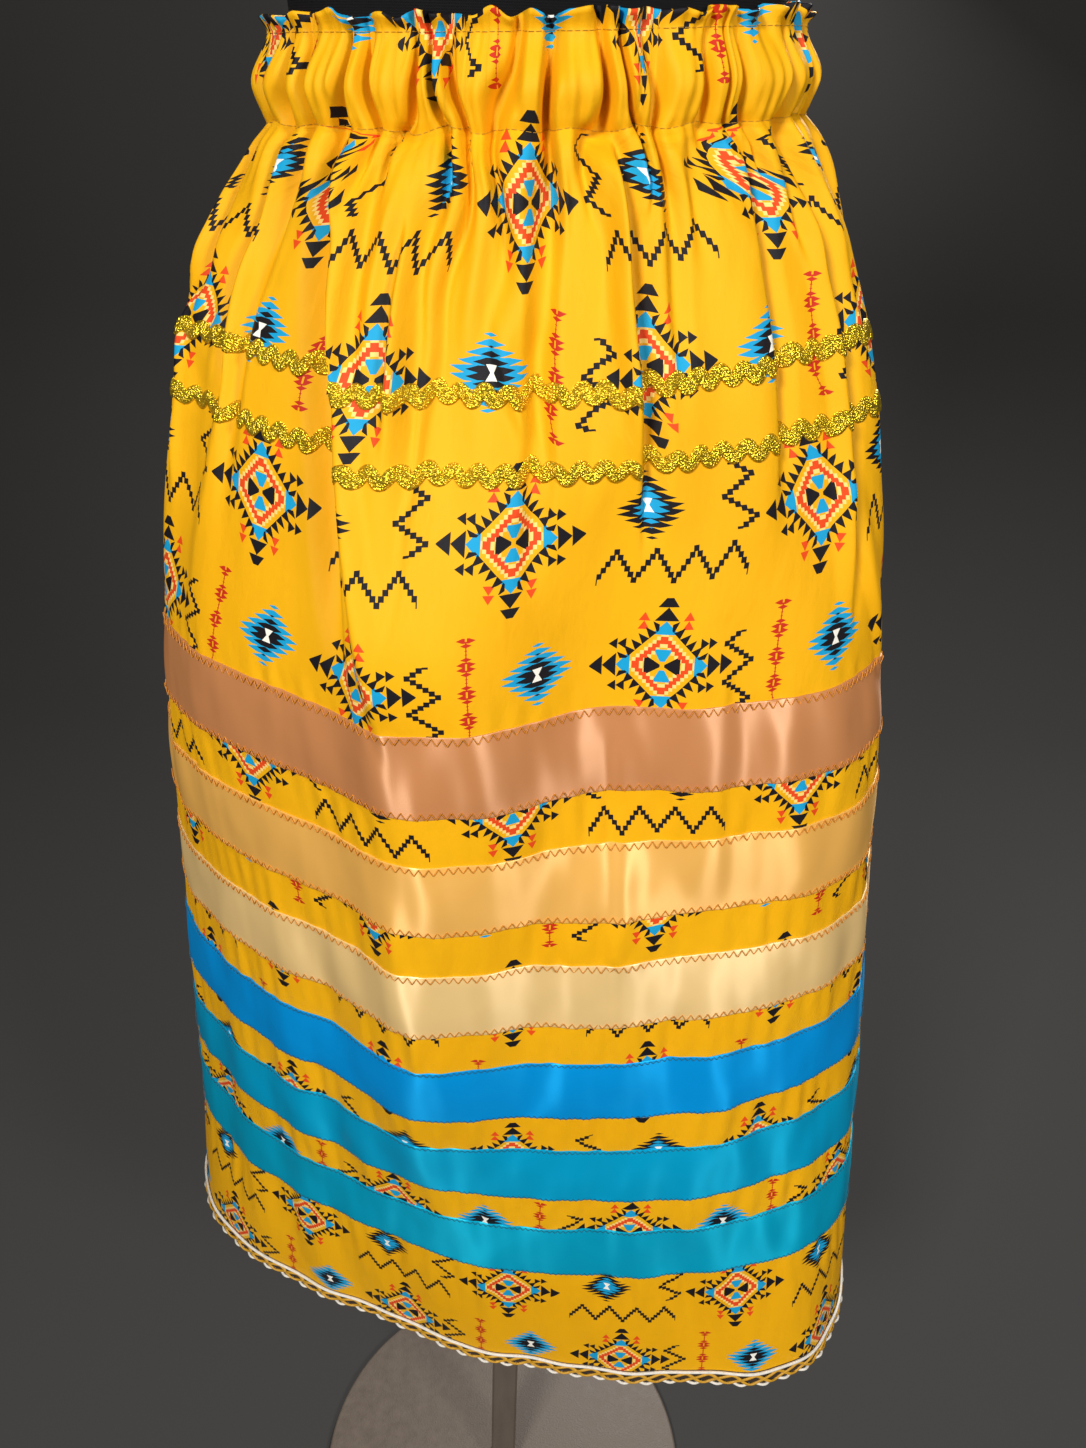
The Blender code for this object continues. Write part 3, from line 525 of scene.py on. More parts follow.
def make_floor():
    """A dark floor that curves up into a backdrop behind the form."""
    profile = [(-FLOOR_REACH, 0.0), (BACKDROP_START, 0.0)]
    for step in range(1, 13):
        angle = math.pi / 2 * step / 12
        profile.append((BACKDROP_START + BACKDROP_ROUND * math.sin(angle),
                        BACKDROP_ROUND * (1 - math.cos(angle))))
    profile.append((profile[-1][0], BACKDROP_TOP))
    points = [(side * FLOOR_REACH, y, z) for y, z in profile for side in (-1, 1)]
    faces = [(2 * i, 2 * i + 1, 2 * i + 3, 2 * i + 2) for i in range(len(profile) - 1)]
    mesh = bpy.data.meshes.new("floor")
    mesh.from_pydata(points, [], faces)
    mesh.shade_smooth()
    finish = bpy.data.materials.new("dark_floor")
    finish.use_nodes = True
    shader = finish.node_tree.nodes["Principled BSDF"]
    shader.inputs["Base Color"].default_value = (0.036, 0.035, 0.034, 1.0)
    shader.inputs["Roughness"].default_value = 0.85
    mesh.materials.append(finish)
    floor = bpy.data.objects.new("floor", mesh)
    bpy.context.scene.collection.objects.link(floor)


make_floor()
print("floor and backdrop made")

# %% [markdown]
# ## Sums written as shader nodes
#
# Every pattern here is drawn by formulas, because formulas stay sharp at any distance and need no picture.
# A formula in a shader is a chain of Math nodes, which is long to write and hard to read. The small class
# below stands for a number that flows through a node tree: adding or comparing two of them adds the node.

# %% A number in a node tree
class Flow:
    """A value in a shader tree, on which sums and comparisons can be written."""

    def __init__(self, tree, socket):
        self.tree, self.socket = tree, socket

    def maths(self, operation, *others):
        """A Math node with this value first."""
        node = self.tree.nodes.new("ShaderNodeMath")
        node.operation = operation
        for socket, value in zip(node.inputs, (self, *others)):
            if isinstance(value, Flow):
                self.tree.links.new(value.socket, socket)
            else:
                socket.default_value = value
        return Flow(self.tree, node.outputs[0])

    def __add__(self, other):
        return self.maths("ADD", other)

    def __sub__(self, other):
        return self.maths("SUBTRACT", other)

    def __mul__(self, other):
        return self.maths("MULTIPLY", other)

    def __truediv__(self, other):
        return self.maths("DIVIDE", other)

    def __lt__(self, other):
        return self.maths("LESS_THAN", other)

    def __gt__(self, other):
        return self.maths("GREATER_THAN", other)

    def __and__(self, other):
        return self.maths("MULTIPLY", other)

    def __or__(self, other):
        return self.maths("MAXIMUM", other)

    def size(self):
        return self.maths("ABSOLUTE")

    def floor(self):
        return self.maths("FLOOR")

    def bounce(self, span):
        """0 up to span and back again, over and over."""
        return self.maths("PINGPONG", span)

    def wrap(self, low, high):
        return self.maths("WRAP", high, low)

    def without(self, other):
        """This mask, with the other one cut out."""
        return self * other.maths("MULTIPLY_ADD", -1.0, 1.0)


def new_group(name, inputs, outputs):
    """A shader group with named sockets: its tree, its inputs as flows, and its output node."""
    tree = bpy.data.node_groups.new(name, "ShaderNodeTree")
    for label, kind, value in inputs:
        socket = tree.interface.new_socket(label, in_out="INPUT", socket_type="NodeSocket" + kind)
        if value is not None:
            socket.default_value = value
    for label, kind in outputs:
        tree.interface.new_socket(label, in_out="OUTPUT", socket_type="NodeSocket" + kind)
    entry, end = tree.nodes.new("NodeGroupInput"), tree.nodes.new("NodeGroupOutput")
    return tree, {label: Flow(tree, entry.outputs[label]) for label, _, _ in inputs}, end


def use_group(tree, group, **values):
    """Place a group in a tree, set its inputs by name with _ for a space, and give its outputs."""
    node = tree.nodes.new("ShaderNodeGroup")
    node.node_tree = group
    for label, value in values.items():
        socket = node.inputs[label.replace("_", " ")]
        if isinstance(value, Flow):
            tree.links.new(value.socket, socket)
        else:
            socket.default_value = value
    return {socket.name: Flow(tree, socket) for socket in node.outputs}


def split_xyz(tree, vector):
    """The parts of a vector."""
    node = tree.nodes.new("ShaderNodeSeparateXYZ")
    tree.links.new(vector.socket, node.inputs[0])
    return [Flow(tree, socket) for socket in node.outputs]


def mix_colour(tree, mask, below, above):
    """below where the mask is 0, above where it is 1."""
    node = tree.nodes.new("ShaderNodeMix")
    node.data_type = "RGBA"
    for socket, value in ((node.inputs["Factor"], mask), (node.inputs[6], below), (node.inputs[7], above)):
        if isinstance(value, Flow):
            tree.links.new(value.socket, socket)
        else:
            socket.default_value = (*value, 1.0) if isinstance(value, tuple) else value
    return Flow(tree, node.outputs[2])


print("node helpers ready")

# %% [markdown]
# ## The printed cotton
#
# The cotton carries an all-over print of the kinds that southwestern weaving has long used: serrate diamonds,
# stepped lines, small spiked stars and cross medallions. The drawings below are plain ones of those kinds,
# each from a few lines of arithmetic on folded coordinates, set out on a half-drop repeat. A serrate edge is
# a straight slope with a triangle wave taken off it, so one group draws both diamonds and the stars.

# %% Serrate diamond
def make_serrate_group():
    """Mask of a diamond whose edges end in rows of spikes."""
    inputs = [("X", "Float", 0.0), ("Y", "Float", 0.0), ("Half Width", "Float", 19.0),
              ("Half Height", "Float", 17.0), ("Row", "Float", 3.2), ("Spike", "Float", 5.0)]
    tree, given, end = new_group("serrate_diamond", inputs, [("Mask", "Float")])
    x, y, row = given["X"].size(), given["Y"].size(), given["Row"]
    middle = ((y / row).floor() + 0.5) * row
    edge = given["Half Width"] * ((middle / given["Half Height"]) * -1.0 + 1.0)
    taper = (y - middle).size() / row * 2.0 * given["Spike"]
    mask = (x + taper < edge) & (y < given["Half Height"])
    tree.links.new(mask.socket, end.inputs["Mask"])
    return tree


serrate_group = make_serrate_group()
print(serrate_group.name, len(serrate_group.nodes), "nodes")


# %% Cross medallion
def make_medallion_group():
    """Masks of a four-armed medallion, in millimetres from its centre."""
    inputs = [("X", "Float", 0.0), ("Y", "Float", 0.0)]
    outputs = [("Black", "Float"), ("Blue", "Float"), ("Red", "Float"), ("Pale", "Float")]
    tree, given, end = new_group("cross_medallion", inputs, outputs)
    across, upright = given["X"].size(), given["Y"].size()
    long = across.maths("MAXIMUM", upright)
    short = across.maths("MINIMUM", upright)
    slant = across + upright
    step_x, step_y = (across / 2.0).floor() * 2.0, (upright / 2.0).floor() * 2.0
    stepped = step_x + step_y
    ring = (stepped > 11.0) & (stepped < 15.0)
    inside = stepped < 11.0
    bow = (upright < across * 0.6) & (across < 9.5) & (across > 1.2)
    drop = (across < upright * 0.55) & (upright < 9.0) & (upright > 2.4)
    arm = (long - 17.0) / 7.3
    arm_step = arm.floor()
    left_over = (arm - arm_step) * -1.0 + 1.0
    width = left_over * 7.4 * (arm_step * -0.13 + 1.0)
    in_arm = (long > 17.0) & (long < 38.5) & (short < width)
    first = in_arm & (long < 24.3)
    border = in_arm.without(first)
    along = (long - short).bounce(3.4)
    teeth = (slant > 22.5) & (slant - 22.5 < along * 2.5) & (short > 3.4)
    arrows = (long - 15.0) / 4.6
    arrow_left = (arrows - arrows.floor()) * -1.0 + 1.0
    flight = ((short - 11.6).size() < arrow_left * 3.0) & (long > 19.6) & (long < 28.8)
    arrow, dart = flight & (upright > across), flight & (across > upright)
    frame_edge = (stepped > 9.0) & (stepped < 17.0)
    masks = {
        "Black": border | teeth | dart | (bow & inside),
        "Blue": first | (drop & inside),
        "Red": (ring | arrow),
        "Pale": frame_edge.without(ring),
    }
    for label, mask in masks.items():
        tree.links.new(mask.socket, end.inputs[label])
    return tree


medallion_group = make_medallion_group()
print(medallion_group.name, len(medallion_group.nodes), "nodes")


# %% The repeat
PRINT_BLACK, PRINT_BLUE, PRINT_RED = (0.010, 0.009, 0.012), (0.010, 0.335, 0.630), (0.760, 0.070, 0.012)
# The stars' deep red is the print's red ink with painted shade: it is darkened to how the stars look in
# shade.
PRINT_RED_WITH_PAINTED_SHADE, PRINT_WHITE, PRINT_PALE = (0.520, 0.026, 0.010), (0.90, 0.88, 0.80), (0.92, 0.66, 0.20)
REPEAT_WIDTH, REPEAT_HEIGHT = 172.0, 146.0


def stepped_line(along, across, half_length, half_period=10.2, step=3.0, rise=1.47):
    """Mask of a zigzag made of small blocks that touch at their corners."""
    centre = ((across / step).floor() + 0.5) * step
    place = along.bounce(half_period) - half_period / 2
    return ((place - centre / rise).size() < 1.45) & (across.size() < step * 3) & (along.size() < half_length)


def make_print_group():
    """The whole repeat: the colour of the print over a ground colour, and where there is ink."""
    inputs = [("Vector", "Vector", None), ("Ground", "Color", (0.8, 0.5, 0.05, 1.0))]
    tree, given, end = new_group("southwestern_print", inputs, [("Color", "Color"), ("Ink", "Float")])
    u, v, _ = split_xyz(tree, given["Vector"])
    u, v = u * 1000.0, v * 1000.0
    half = REPEAT_HEIGHT / 2
    row = (v / half + 0.5).floor()
    y = v - row * half
    drop = row * (REPEAT_WIDTH / 2)
    medal_x = (u + drop).wrap(-REPEAT_WIDTH / 2, REPEAT_WIDTH / 2)
    medal = use_group(tree, medallion_group, X=medal_x, Y=y)
    x = (u + drop + REPEAT_WIDTH / 2).wrap(-REPEAT_WIDTH / 2, REPEAT_WIDTH / 2)
    odd = row.wrap(0.0, 2.0) > 0.5
    mirror = (row / 2.0).floor().wrap(0.0, 2.0) * 2.0 - 1.0
    x = x * mirror
    even = odd.maths("MULTIPLY_ADD", -1.0, 1.0)

    def diamond(centre_x, centre_y, width, height, row_height, spike):
        return use_group(tree, serrate_group, X=x - centre_x, Y=y - centre_y, Half_Width=width,
                         Half_Height=height, Row=row_height, Spike=spike)["Mask"]

    outer_a, inner_a = diamond(-17.0, 3.0, 23.0, 19.5, 3.6, 7.5), diamond(-17.0, 3.0, 14.5, 13.0, 3.2, 6.0)
    outer_b, inner_b = diamond(13.0, 9.0, 21.0, 18.0, 3.4, 7.0), diamond(13.0, 9.0, 12.5, 11.5, 3.0, 5.5)
    ax, ay = (x + 17.0).size(), (y - 3.0).size()
    bx, by = (x - 13.0).size(), (y - 9.0).size()
    core_a = (ax < ay * 0.6 + 0.8) & (ay < 3.6)
    core_b = (bx < by * 0.6 + 0.7) & (by < 3.2)
    star_y = y.wrap(-7.2, 7.2)
    star = use_group(tree, serrate_group, X=x - 22.0, Y=star_y, Half_Width=6.2, Half_Height=7.4, Row=2.5,
                     Spike=3.4)["Mask"]
    star_core = ((x - 22.0).size() < 0.5) & (star_y.size() < 1.6)
    star_line = (x - 22.0).size() < 0.3
    star = ((star | star_line) & (y.size() < 28.8)).without(star_core) & even
    flat_zigzag = stepped_line(x, y + 20.0, 40.0) & odd
    tall_zigzag = stepped_line(y, x + 35.0, 26.0) & odd & (y > -6.0)
    tall_zigzag_even = stepped_line(y, x - 44.0, 24.0) & even & (y < 16.0)

    a_out, a_in, a_core = outer_a.without(inner_a) & even, inner_a.without(core_a) & even, core_a & even
    b_out, b_in, b_core = outer_b.without(inner_b) & odd, inner_b.without(core_b) & odd, core_b & odd
    black = medal["Black"] | a_in | b_out | flat_zigzag | tall_zigzag | tall_zigzag_even
    blue = medal["Blue"] | a_out | b_in
    white = a_core | b_core
    colour = mix_colour(tree, medal["Pale"], given["Ground"], PRINT_PALE)
    # the stars take the red ink with painted shade
    for mask, ink in ((medal["Red"], PRINT_RED), (star, PRINT_RED_WITH_PAINTED_SHADE), (blue, PRINT_BLUE),
                      (black, PRINT_BLACK), (white, PRINT_WHITE)):
        colour = mix_colour(tree, mask, colour, ink)
    tree.links.new(colour.socket, end.inputs["Color"])
    tree.links.new((medal["Red"] | star | blue | black).socket, end.inputs["Ink"])
    return tree


print_group = make_print_group()
print(print_group.name, len(print_group.nodes), "nodes")

# %% [markdown]
# ## Weave, and the finishes that use it
#
# Cotton, satin and the form's jersey all show threads, at different sizes. One group makes them: two waves
# at right angles for warp and weft, and a cloudy noise for the slight unevenness of dye. Each material
# places it with its own thread size and keeps its own shader, so gloss and sheen stay on the shader.

# %% Weave group
def make_weave_group():
    """Height of the threads, and a soft shade for uneven dye."""
    inputs = [("Vector", "Vector", None), ("Thread", "Float", 0.5), ("Cross", "Float", 1.0),
              ("Cloud", "Float", 30.0)]
    tree, given, end = new_group("weave", inputs, [("Height", "Float"), ("Shade", "Float")])
    u, v, _ = split_xyz(tree, given["Vector"])
    warp = (u * 1000.0 / given["Thread"] * (2 * math.pi)).maths("SINE")
    weft = (v * 1000.0 / given["Thread"] * (2 * math.pi)).maths("SINE")
    height = warp * weft * given["Cross"] + weft * 0.4
    noise = tree.nodes.new("ShaderNodeTexNoise")
    noise.inputs["Detail"].default_value = 3.0
    tree.links.new(given["Vector"].socket, noise.inputs["Vector"])
    tree.links.new(given["Cloud"].socket, noise.inputs["Scale"])
    tree.links.new(height.socket, end.inputs["Height"])
    tree.links.new(noise.outputs["Fac"], end.inputs["Shade"])
    return tree


weave_group = make_weave_group()
print(weave_group.name, len(weave_group.nodes), "nodes")


# %% Finish helpers
def new_finish(name, roughness, metallic=0.0, **sockets):
    """A material with its constants on the shader's own sockets: its tree, shader and UV flow."""
    finish = bpy.data.materials.new(name)
    finish.use_nodes = True
    tree = finish.node_tree
    shader = tree.nodes["Principled BSDF"]
    shader.inputs["Roughness"].default_value = roughness
    shader.inputs["Metallic"].default_value = metallic
    for label, value in sockets.items():
        shader.inputs[label.replace("_", " ")].default_value = value
    return finish, tree, shader


def uv_flow(tree):
    """The piece's own UV map."""
    node = tree.nodes.new("ShaderNodeUVMap")
    node.uv_map = "UVMap"
    return Flow(tree, node.outputs["UV"])


def object_flow(tree):
    """Object coordinates, which are metres in the frame."""
    return Flow(tree, tree.nodes.new("ShaderNodeTexCoord").outputs["Object"])


def scaled(tree, vector, scale):
    """A vector with its axes stretched."""
    node = tree.nodes.new("ShaderNodeMapping")
    node.inputs["Scale"].default_value = scale
    tree.links.new(vector.socket, node.inputs["Vector"])
    return Flow(tree, node.outputs[0])


def noise_flow(tree, vector, scale, detail=3.0, roughness=0.5):
    """Soft noise on a vector."""
    node = tree.nodes.new("ShaderNodeTexNoise")
    node.inputs["Scale"].default_value = scale
    node.inputs["Detail"].default_value = detail
    node.inputs["Roughness"].default_value = roughness
    tree.links.new(vector.socket, node.inputs["Vector"])
    return Flow(tree, node.outputs["Fac"])


def bump(tree, shader, height, distance, strength=1.0):
    """Feed a height to the shader's normal."""
    node = tree.nodes.new("ShaderNodeBump")
    node.inputs["Distance"].default_value = distance
    node.inputs["Strength"].default_value = strength
    tree.links.new(height.socket, node.inputs["Height"])
    tree.links.new(node.outputs["Normal"], shader.inputs["Normal"])


# %% Printed cotton
COTTON, COTTON_DEEP, COTTON_INSIDE = (0.860, 0.452, 0.008), (0.780, 0.368, 0.003), (0.78, 0.50, 0.14)


def make_golden_print():
    """Golden cotton with the print on its face, paler inside, and a faint crease noise."""
    finish, tree, shader = new_finish("golden_print", 0.48, Specular_IOR_Level=0.14)
    uv = uv_flow(tree)
    weave = use_group(tree, weave_group, Vector=uv, Thread=0.42, Cross=1.0, Cloud=9.0)
    ground = mix_colour(tree, weave["Shade"], COTTON_DEEP, COTTON)
    printed = use_group(tree, print_group, Vector=uv, Ground=ground)
    back = Flow(tree, tree.nodes.new("ShaderNodeNewGeometry").outputs["Backfacing"])
    faded = mix_colour(tree, back * 0.82, printed["Color"], COTTON_INSIDE)
    tree.links.new(faded.socket, shader.inputs["Base Color"])
    crumple = noise_flow(tree, scaled(tree, uv, (1.0, 0.45, 1.0)), 60.0, 4.0)
    bump(tree, shader, crumple + weave["Height"] * 0.02, 0.0011)
    return finish


golden_print = make_golden_print()
print(golden_print.name, len(golden_print.node_tree.nodes), "nodes")

# %% [markdown]
# ## Satin, thread, braid and stand
#
# Satin floats its threads along the ribbon, so light spreads across them and each ribbon gleams in upright
# streaks: a strong anisotropy turned by a quarter, and a bump stretched down the ribbon. Metallic ric-rac
# is a braid of foil threads, which sparkle because each one tilts another way. The stand is painted steel,
# and the form is covered in black jersey.

# %% Satin
SATIN_COLOURS = {
    "copper": (0.660, 0.270, 0.098),
    "apricot": (1.000, 0.530, 0.115),
    "cream": (0.960, 0.660, 0.270),
    "blue": (0.001, 0.340, 0.880),
    "turquoise": (0.001, 0.390, 0.700),
    "teal": (0.001, 0.390, 0.630),
}


def make_satin(name, colour):
    """Satin ribbon in one colour, whose gleam is a paler tint of it."""
    tint = tuple(part ** (0.28 if colour[0] > 0.1 else 0.45) for part in colour)
    finish, tree, shader = new_finish("gleaming_" + name, 0.50, 0.10, Anisotropic=0.95, IOR=1.9,
                                      Specular_IOR_Level=1.0, Anisotropic_Rotation=0.25,
                                      Specular_Tint=(*tint, 1.0))
    uv = uv_flow(tree)
    weave = use_group(tree, weave_group, Vector=uv, Thread=0.30, Cross=0.3, Cloud=14.0)
    deep = tuple(part * 0.86 for part in colour)
    shade = mix_colour(tree, weave["Shade"], deep, colour)
    tree.links.new(shade.socket, shader.inputs["Base Color"])
    waves = noise_flow(tree, scaled(tree, uv, (1.0, 0.6, 1.0)), 17.0, 1.5)
    grain = noise_flow(tree, uv, 1500.0, 1.0)
    tree.links.new((grain * 0.14 + 0.35).socket, shader.inputs["Roughness"])
    bump(tree, shader, waves + grain * 0.003, 0.0070)
    return finish


satins = {name: make_satin(name, colour) for name, colour in SATIN_COLOURS.items()}
print("satins:", ", ".join(satins))


# %% Metallic, thread and cord finishes
def make_foil(name, colour, deep, sparkle):
    """Foil threads: many small facets, each tilted its own way."""
    finish, tree, shader = new_finish(name, 0.28, 0.85)
    place = object_flow(tree)
    cells = tree.nodes.new("ShaderNodeTexVoronoi")
    cells.inputs["Scale"].default_value = sparkle
    tree.links.new(place.socket, cells.inputs["Vector"])
    shade = mix_colour(tree, noise_flow(tree, place, sparkle * 0.45), deep, colour)
    tree.links.new(shade.socket, shader.inputs["Base Color"])
    bump(tree, shader, Flow(tree, cells.outputs["Distance"]), 0.0007)
    return finish


def make_thread(name, colour, roughness=0.5, ply=1400.0):
    """Sewing thread or cord with a twist that shows as fine ribs."""
    finish, tree, shader = new_finish(name, roughness, Sheen_Weight=0.03)
    place = object_flow(tree)
    fleck = noise_flow(tree, place, ply * 0.3, 2.0)
    shade = mix_colour(tree, fleck, tuple(part * 0.65 for part in colour), colour)
    tree.links.new(shade.socket, shader.inputs["Base Color"])
    bump(tree, shader, noise_flow(tree, place, ply, 2.0), 0.0002)
    return finish


gold_foil = make_foil("gold_ricrac", (1.0, 0.74, 0.05), (0.62, 0.38, 0.008), 1000.0)
gold_strand = make_thread("gold_strand", (0.70, 0.36, 0.02), 0.40)
gold_thread = make_thread("gold_thread", (0.80, 0.30, 0.010), 0.45)
blue_thread = make_thread("blue_thread", (0.02, 0.17, 0.26), 0.5)
cotton_thread = make_thread("cotton_thread", (0.62, 0.33, 0.02), 0.6)
white_cord = make_thread("white_cord", (0.88, 0.84, 0.76), 0.6)
# painted shadow: a near-black strip whose colour stands for the shade in the gaps between the hem's gold
# strands
dark_tape = make_thread("dark_tape", (0.035, 0.018, 0.010), 0.8)


# %% Form and stand finishes
def make_jersey():
    """Black jersey over the form, with fine knit ribs."""
    finish, tree, shader = new_finish("form_jersey", 0.9, Specular_IOR_Level=0.15)
    uv = uv_flow(tree)
    weave = use_group(tree, weave_group, Vector=uv, Thread=1.1, Cross=1.0, Cloud=6.0)
    shade = mix_colour(tree, weave["Shade"], (0.005, 0.005, 0.006), (0.012, 0.012, 0.014))
    tree.links.new(shade.socket, shader.inputs["Base Color"])
    bump(tree, shader, weave["Height"], 0.0003)
    return finish


def make_stand_paint():
    """Brown-grey paint with a fine orange-peel skin and a few brighter rubs."""
    finish, tree, shader = new_finish("stand_paint", 0.5, Specular_IOR_Level=0.4)
    place = object_flow(tree)
    rubs = noise_flow(tree, scaled(tree, place, (1.0, 1.0, 0.15)), 90.0, 5.0, 0.6)
    shade = mix_colour(tree, rubs, (0.095, 0.074, 0.060), (0.175, 0.140, 0.112))
    tree.links.new(shade.socket, shader.inputs["Base Color"])
    tree.links.new((rubs * 0.30 + 0.34).socket, shader.inputs["Roughness"])
    bump(tree, shader, noise_flow(tree, place, 700.0, 2.0), 0.0003)
    return finish


jersey, stand_paint = make_jersey(), make_stand_paint()
print("materials:", len(bpy.data.materials))

# %% [markdown]
# ## The two panels
#
# The skirt is a front and a back panel sewn at the sides. Each is a single fine sheet: close rows where the
# gathers are, wider ones below, with the cloth turned in at the side seams and folded up inside at the hem.
# A Subdivision Surface over the coarse solid would smooth the folds away, so the sheet is read from the
# surface function directly.

# %% Panels
COLUMNS_PER_GATHER = 18
SEAM_HALF_GAP = 0.00015
SEAM_TURN = (-0.0030, -0.0008)
HEM_TURN = ((0.0, -0.0006), (-0.0004, -0.0014), (-0.0120, -0.0017))
UPPER_ROWS, LOWER_ROWS = 92, 98


def half_girth(first, columns):
    """Places from one side seam to the other, with the ends turned in, and how far each is moved out."""
    girth = float(np.interp(FIRST_RIBBON_DOWN, table_downs, girth_table))
    gap = SEAM_HALF_GAP / girth
    inner = np.linspace(first + gap, first + 0.5 - gap, columns + 1)
    place = np.concatenate([[inner[0]] * 2, inner, [inner[-1]] * 2])
    out = np.concatenate([SEAM_TURN, np.zeros(columns + 1), SEAM_TURN[::-1]])
    return place, out


def panel_block(first):
    """Points and UVs of one panel."""
    place, seam_out = half_girth(first, COLUMNS_PER_GATHER * GATHERS // 2)
    downs = np.concatenate([np.linspace(SEAM_DOWN, FIRST_RIBBON_DOWN, UPPER_ROWS, endpoint=False),
                            np.linspace(FIRST_RIBBON_DOWN, SKIRT_LENGTH, LOWER_ROWS)])
    outs = np.zeros(len(downs))
    for rise, out in HEM_TURN:
        downs, outs = np.append(downs, SKIRT_LENGTH + rise), np.append(outs, out)
    block = skirt(place[None, :], downs[:, None], outs[:, None] + seam_out[None, :])
    u = row_lengths(block, block.shape[1] // 2)
    flat_down = np.concatenate([[0.0], np.cumsum(np.abs(np.diff(downs)))]) + SEAM_DOWN
    v = np.broadcast_to(-flat_down[:, None], u.shape)
    return block, np.stack([u + 3.1 * first, v], -1)


front_block, back_block = panel_block(-0.25), panel_block(0.25)
skirt_front = cloth_mesh("skirt_front_cloth", [front_block], golden_print)
skirt_back = cloth_mesh("skirt_back_cloth", [back_block], golden_print)
for name, (block, uv) in (("front", front_block), ("back", back_block)):
    print(name, "cloth width at seam", round(float(np.ptp(uv[0, :, 0])), 3),
          "and hem", round(float(np.ptp(uv[-4, :, 0])), 3), "m")

# %% [markdown]
# ## The waistband
#
# The panels' top edge is turned down over elastic and stitched twice, so the cloth runs up the outside of
# the casing, over the header ruffle and down the inside. One strip does the same here. Its outside is the
# shared surface, and its inside lies against the form.

# %% Waistband
CASING_CLOTH = 0.0013
CASING_ROWS = 25


def casing_block(first, top_u):
    """Outside from the seam up, over the header, and down the inside."""
    place, seam_out = half_girth(first, COLUMNS_PER_GATHER * GATHERS)
    outer_downs = np.linspace(SEAM_DOWN, 0.0, CASING_ROWS)
    outer = skirt(place[None, :], outer_downs[:, None], seam_out[None, :])
    crown = skirt(place[None, :], np.zeros((2, 1)),
                  seam_out[None, :] - CASING_CLOTH * np.array([[0.5], [1.0]]))
    crown[0, :, 2] += 0.0005
    inside_downs = outer_downs[::-1][1:] - 0.0008
    inside = skirt(place[None, :], inside_downs[:, None], seam_out[None, :] - CASING_CLOTH)
    block = np.concatenate([outer, crown, inside])[::-1]
    flat = np.concatenate([outer_downs, [-0.0005, -0.0010], -inside_downs])[::-1]
    u = np.broadcast_to(np.interp(place, half_girth(first, len(top_u) - 5)[0][2:-2], top_u[2:-2])[None, :],
                        block.shape[:2])
    return block, np.stack([u, np.broadcast_to(-flat[:, None], u.shape)], -1)


casing = [casing_block(first, uv[0, :, 0]) for first, (_, uv) in ((-0.25, front_block), (0.25, back_block))]
waistband = cloth_mesh("waistband_cloth", casing, golden_print)

# %% [markdown]
# ## Ribbons
#
# Six satin ribbons two inches wide are laid flat on the panels and sewn along both edges. Each is the
# shared surface again, a little further out. Its edges dip to the cotton, and its middle swells in soft
# puckers between the two lines of stitching.

# %% Ribbons
RIBBON_ROWS, RIBBON_LAY, RIBBON_SWELL = 15, 0.0007, 0.0009


def ribbon_block(upper):
    """A ribbon right round the skirt from the left side seam, with its ends meeting there."""
    place = np.linspace(-0.25, 0.75, COLUMNS_PER_GATHER * GATHERS + 1)
    share = (1 - np.cos(np.linspace(0, np.pi, RIBBON_ROWS))) / 2
    downs = upper + share * RIBBON_WIDTH
    middle = np.sin(np.pi * share)[:, None]
    pucker = uneven(place[None, :], downs[:, None], int(upper * 1000), (9, 44), 5.0)
    out = RIBBON_LAY + RIBBON_SWELL * middle ** 0.7 * (0.9 + 0.55 * pucker)
    block = skirt(place[None, :], downs[:, None], out)
    edge_up = skirt(place, np.full(len(place), downs[0]), 0.0001)[None]
    edge_low = skirt(place, np.full(len(place), downs[-1]), 0.0001)[None]
    block = np.concatenate([edge_up, block, edge_low])
    flat = np.concatenate([downs[:1] - 0.0005, downs, downs[-1:] + 0.0005])
    girth = np.interp(upper, table_downs, girth_table)
    uv = np.stack(np.broadcast_arrays((place * girth)[None, :], -flat[:, None]), -1)
    return block, uv


ribbons = []
for number, name in enumerate(RIBBONS):
    upper = FIRST_RIBBON_DOWN + RIBBON_PITCH * number
    ribbons.append(cloth_mesh(f"ribbon_{name}_satin", [ribbon_block(upper)], satins[name]))

# %% [markdown]
# ## Ric-rac
#
# Ric-rac is a flat braid woven so that it waves. A sine wave moved along the girth gives its middle line,
# and a few points across it, highest in the middle, give the braid's soft cushion. Its path follows a rule,
# but its wall has to hug the gathers, so it too is read from the surface.

# %% Ric-rac
RICRAC_STEPS = 16
RICRAC_PROFILE = ((-0.5, 0.0002), (-0.47, 0.0009), (-0.30, 0.0014), (0.0, 0.0016), (0.30, 0.0014),
                  (0.47, 0.0009), (0.5, 0.0002))


def ricrac_block(middle):
    """The waving braid, with its width measured across its own line."""
    place = np.linspace(-0.25, 0.75, RICRAC_WAVES * RICRAC_STEPS + 1)
    girth = float(np.interp(middle, table_downs, girth_table))
    swing = (RICRAC_HEIGHT - RICRAC_BAND) / 2
    turn = 2 * np.pi * RICRAC_WAVES * (place + 0.25)
    centre = middle - swing * np.cos(turn) * (1 + 0.12 * uneven(place, 0.0, 61, (20, 60), 0.0))
    slope = swing * 2 * np.pi * RICRAC_WAVES / girth * np.sin(turn)
    lean = np.sqrt(1 + slope ** 2)
    rows, flat = [], []
    for across, out in RICRAC_PROFILE:
        shift = across * RICRAC_BAND / lean
        rows.append(skirt(place - shift * slope / girth, centre + shift, out))
        flat.append(np.stack([place * girth, np.full(len(place), -across * RICRAC_BAND)], -1))
    return np.stack(rows), np.stack(flat)


ricracs = {
    name: cloth_mesh(f"ricrac_{name}_braid", [ricrac_block(middle)], gold_foil)
    for name, middle in RICRAC_DOWNS.items()
}

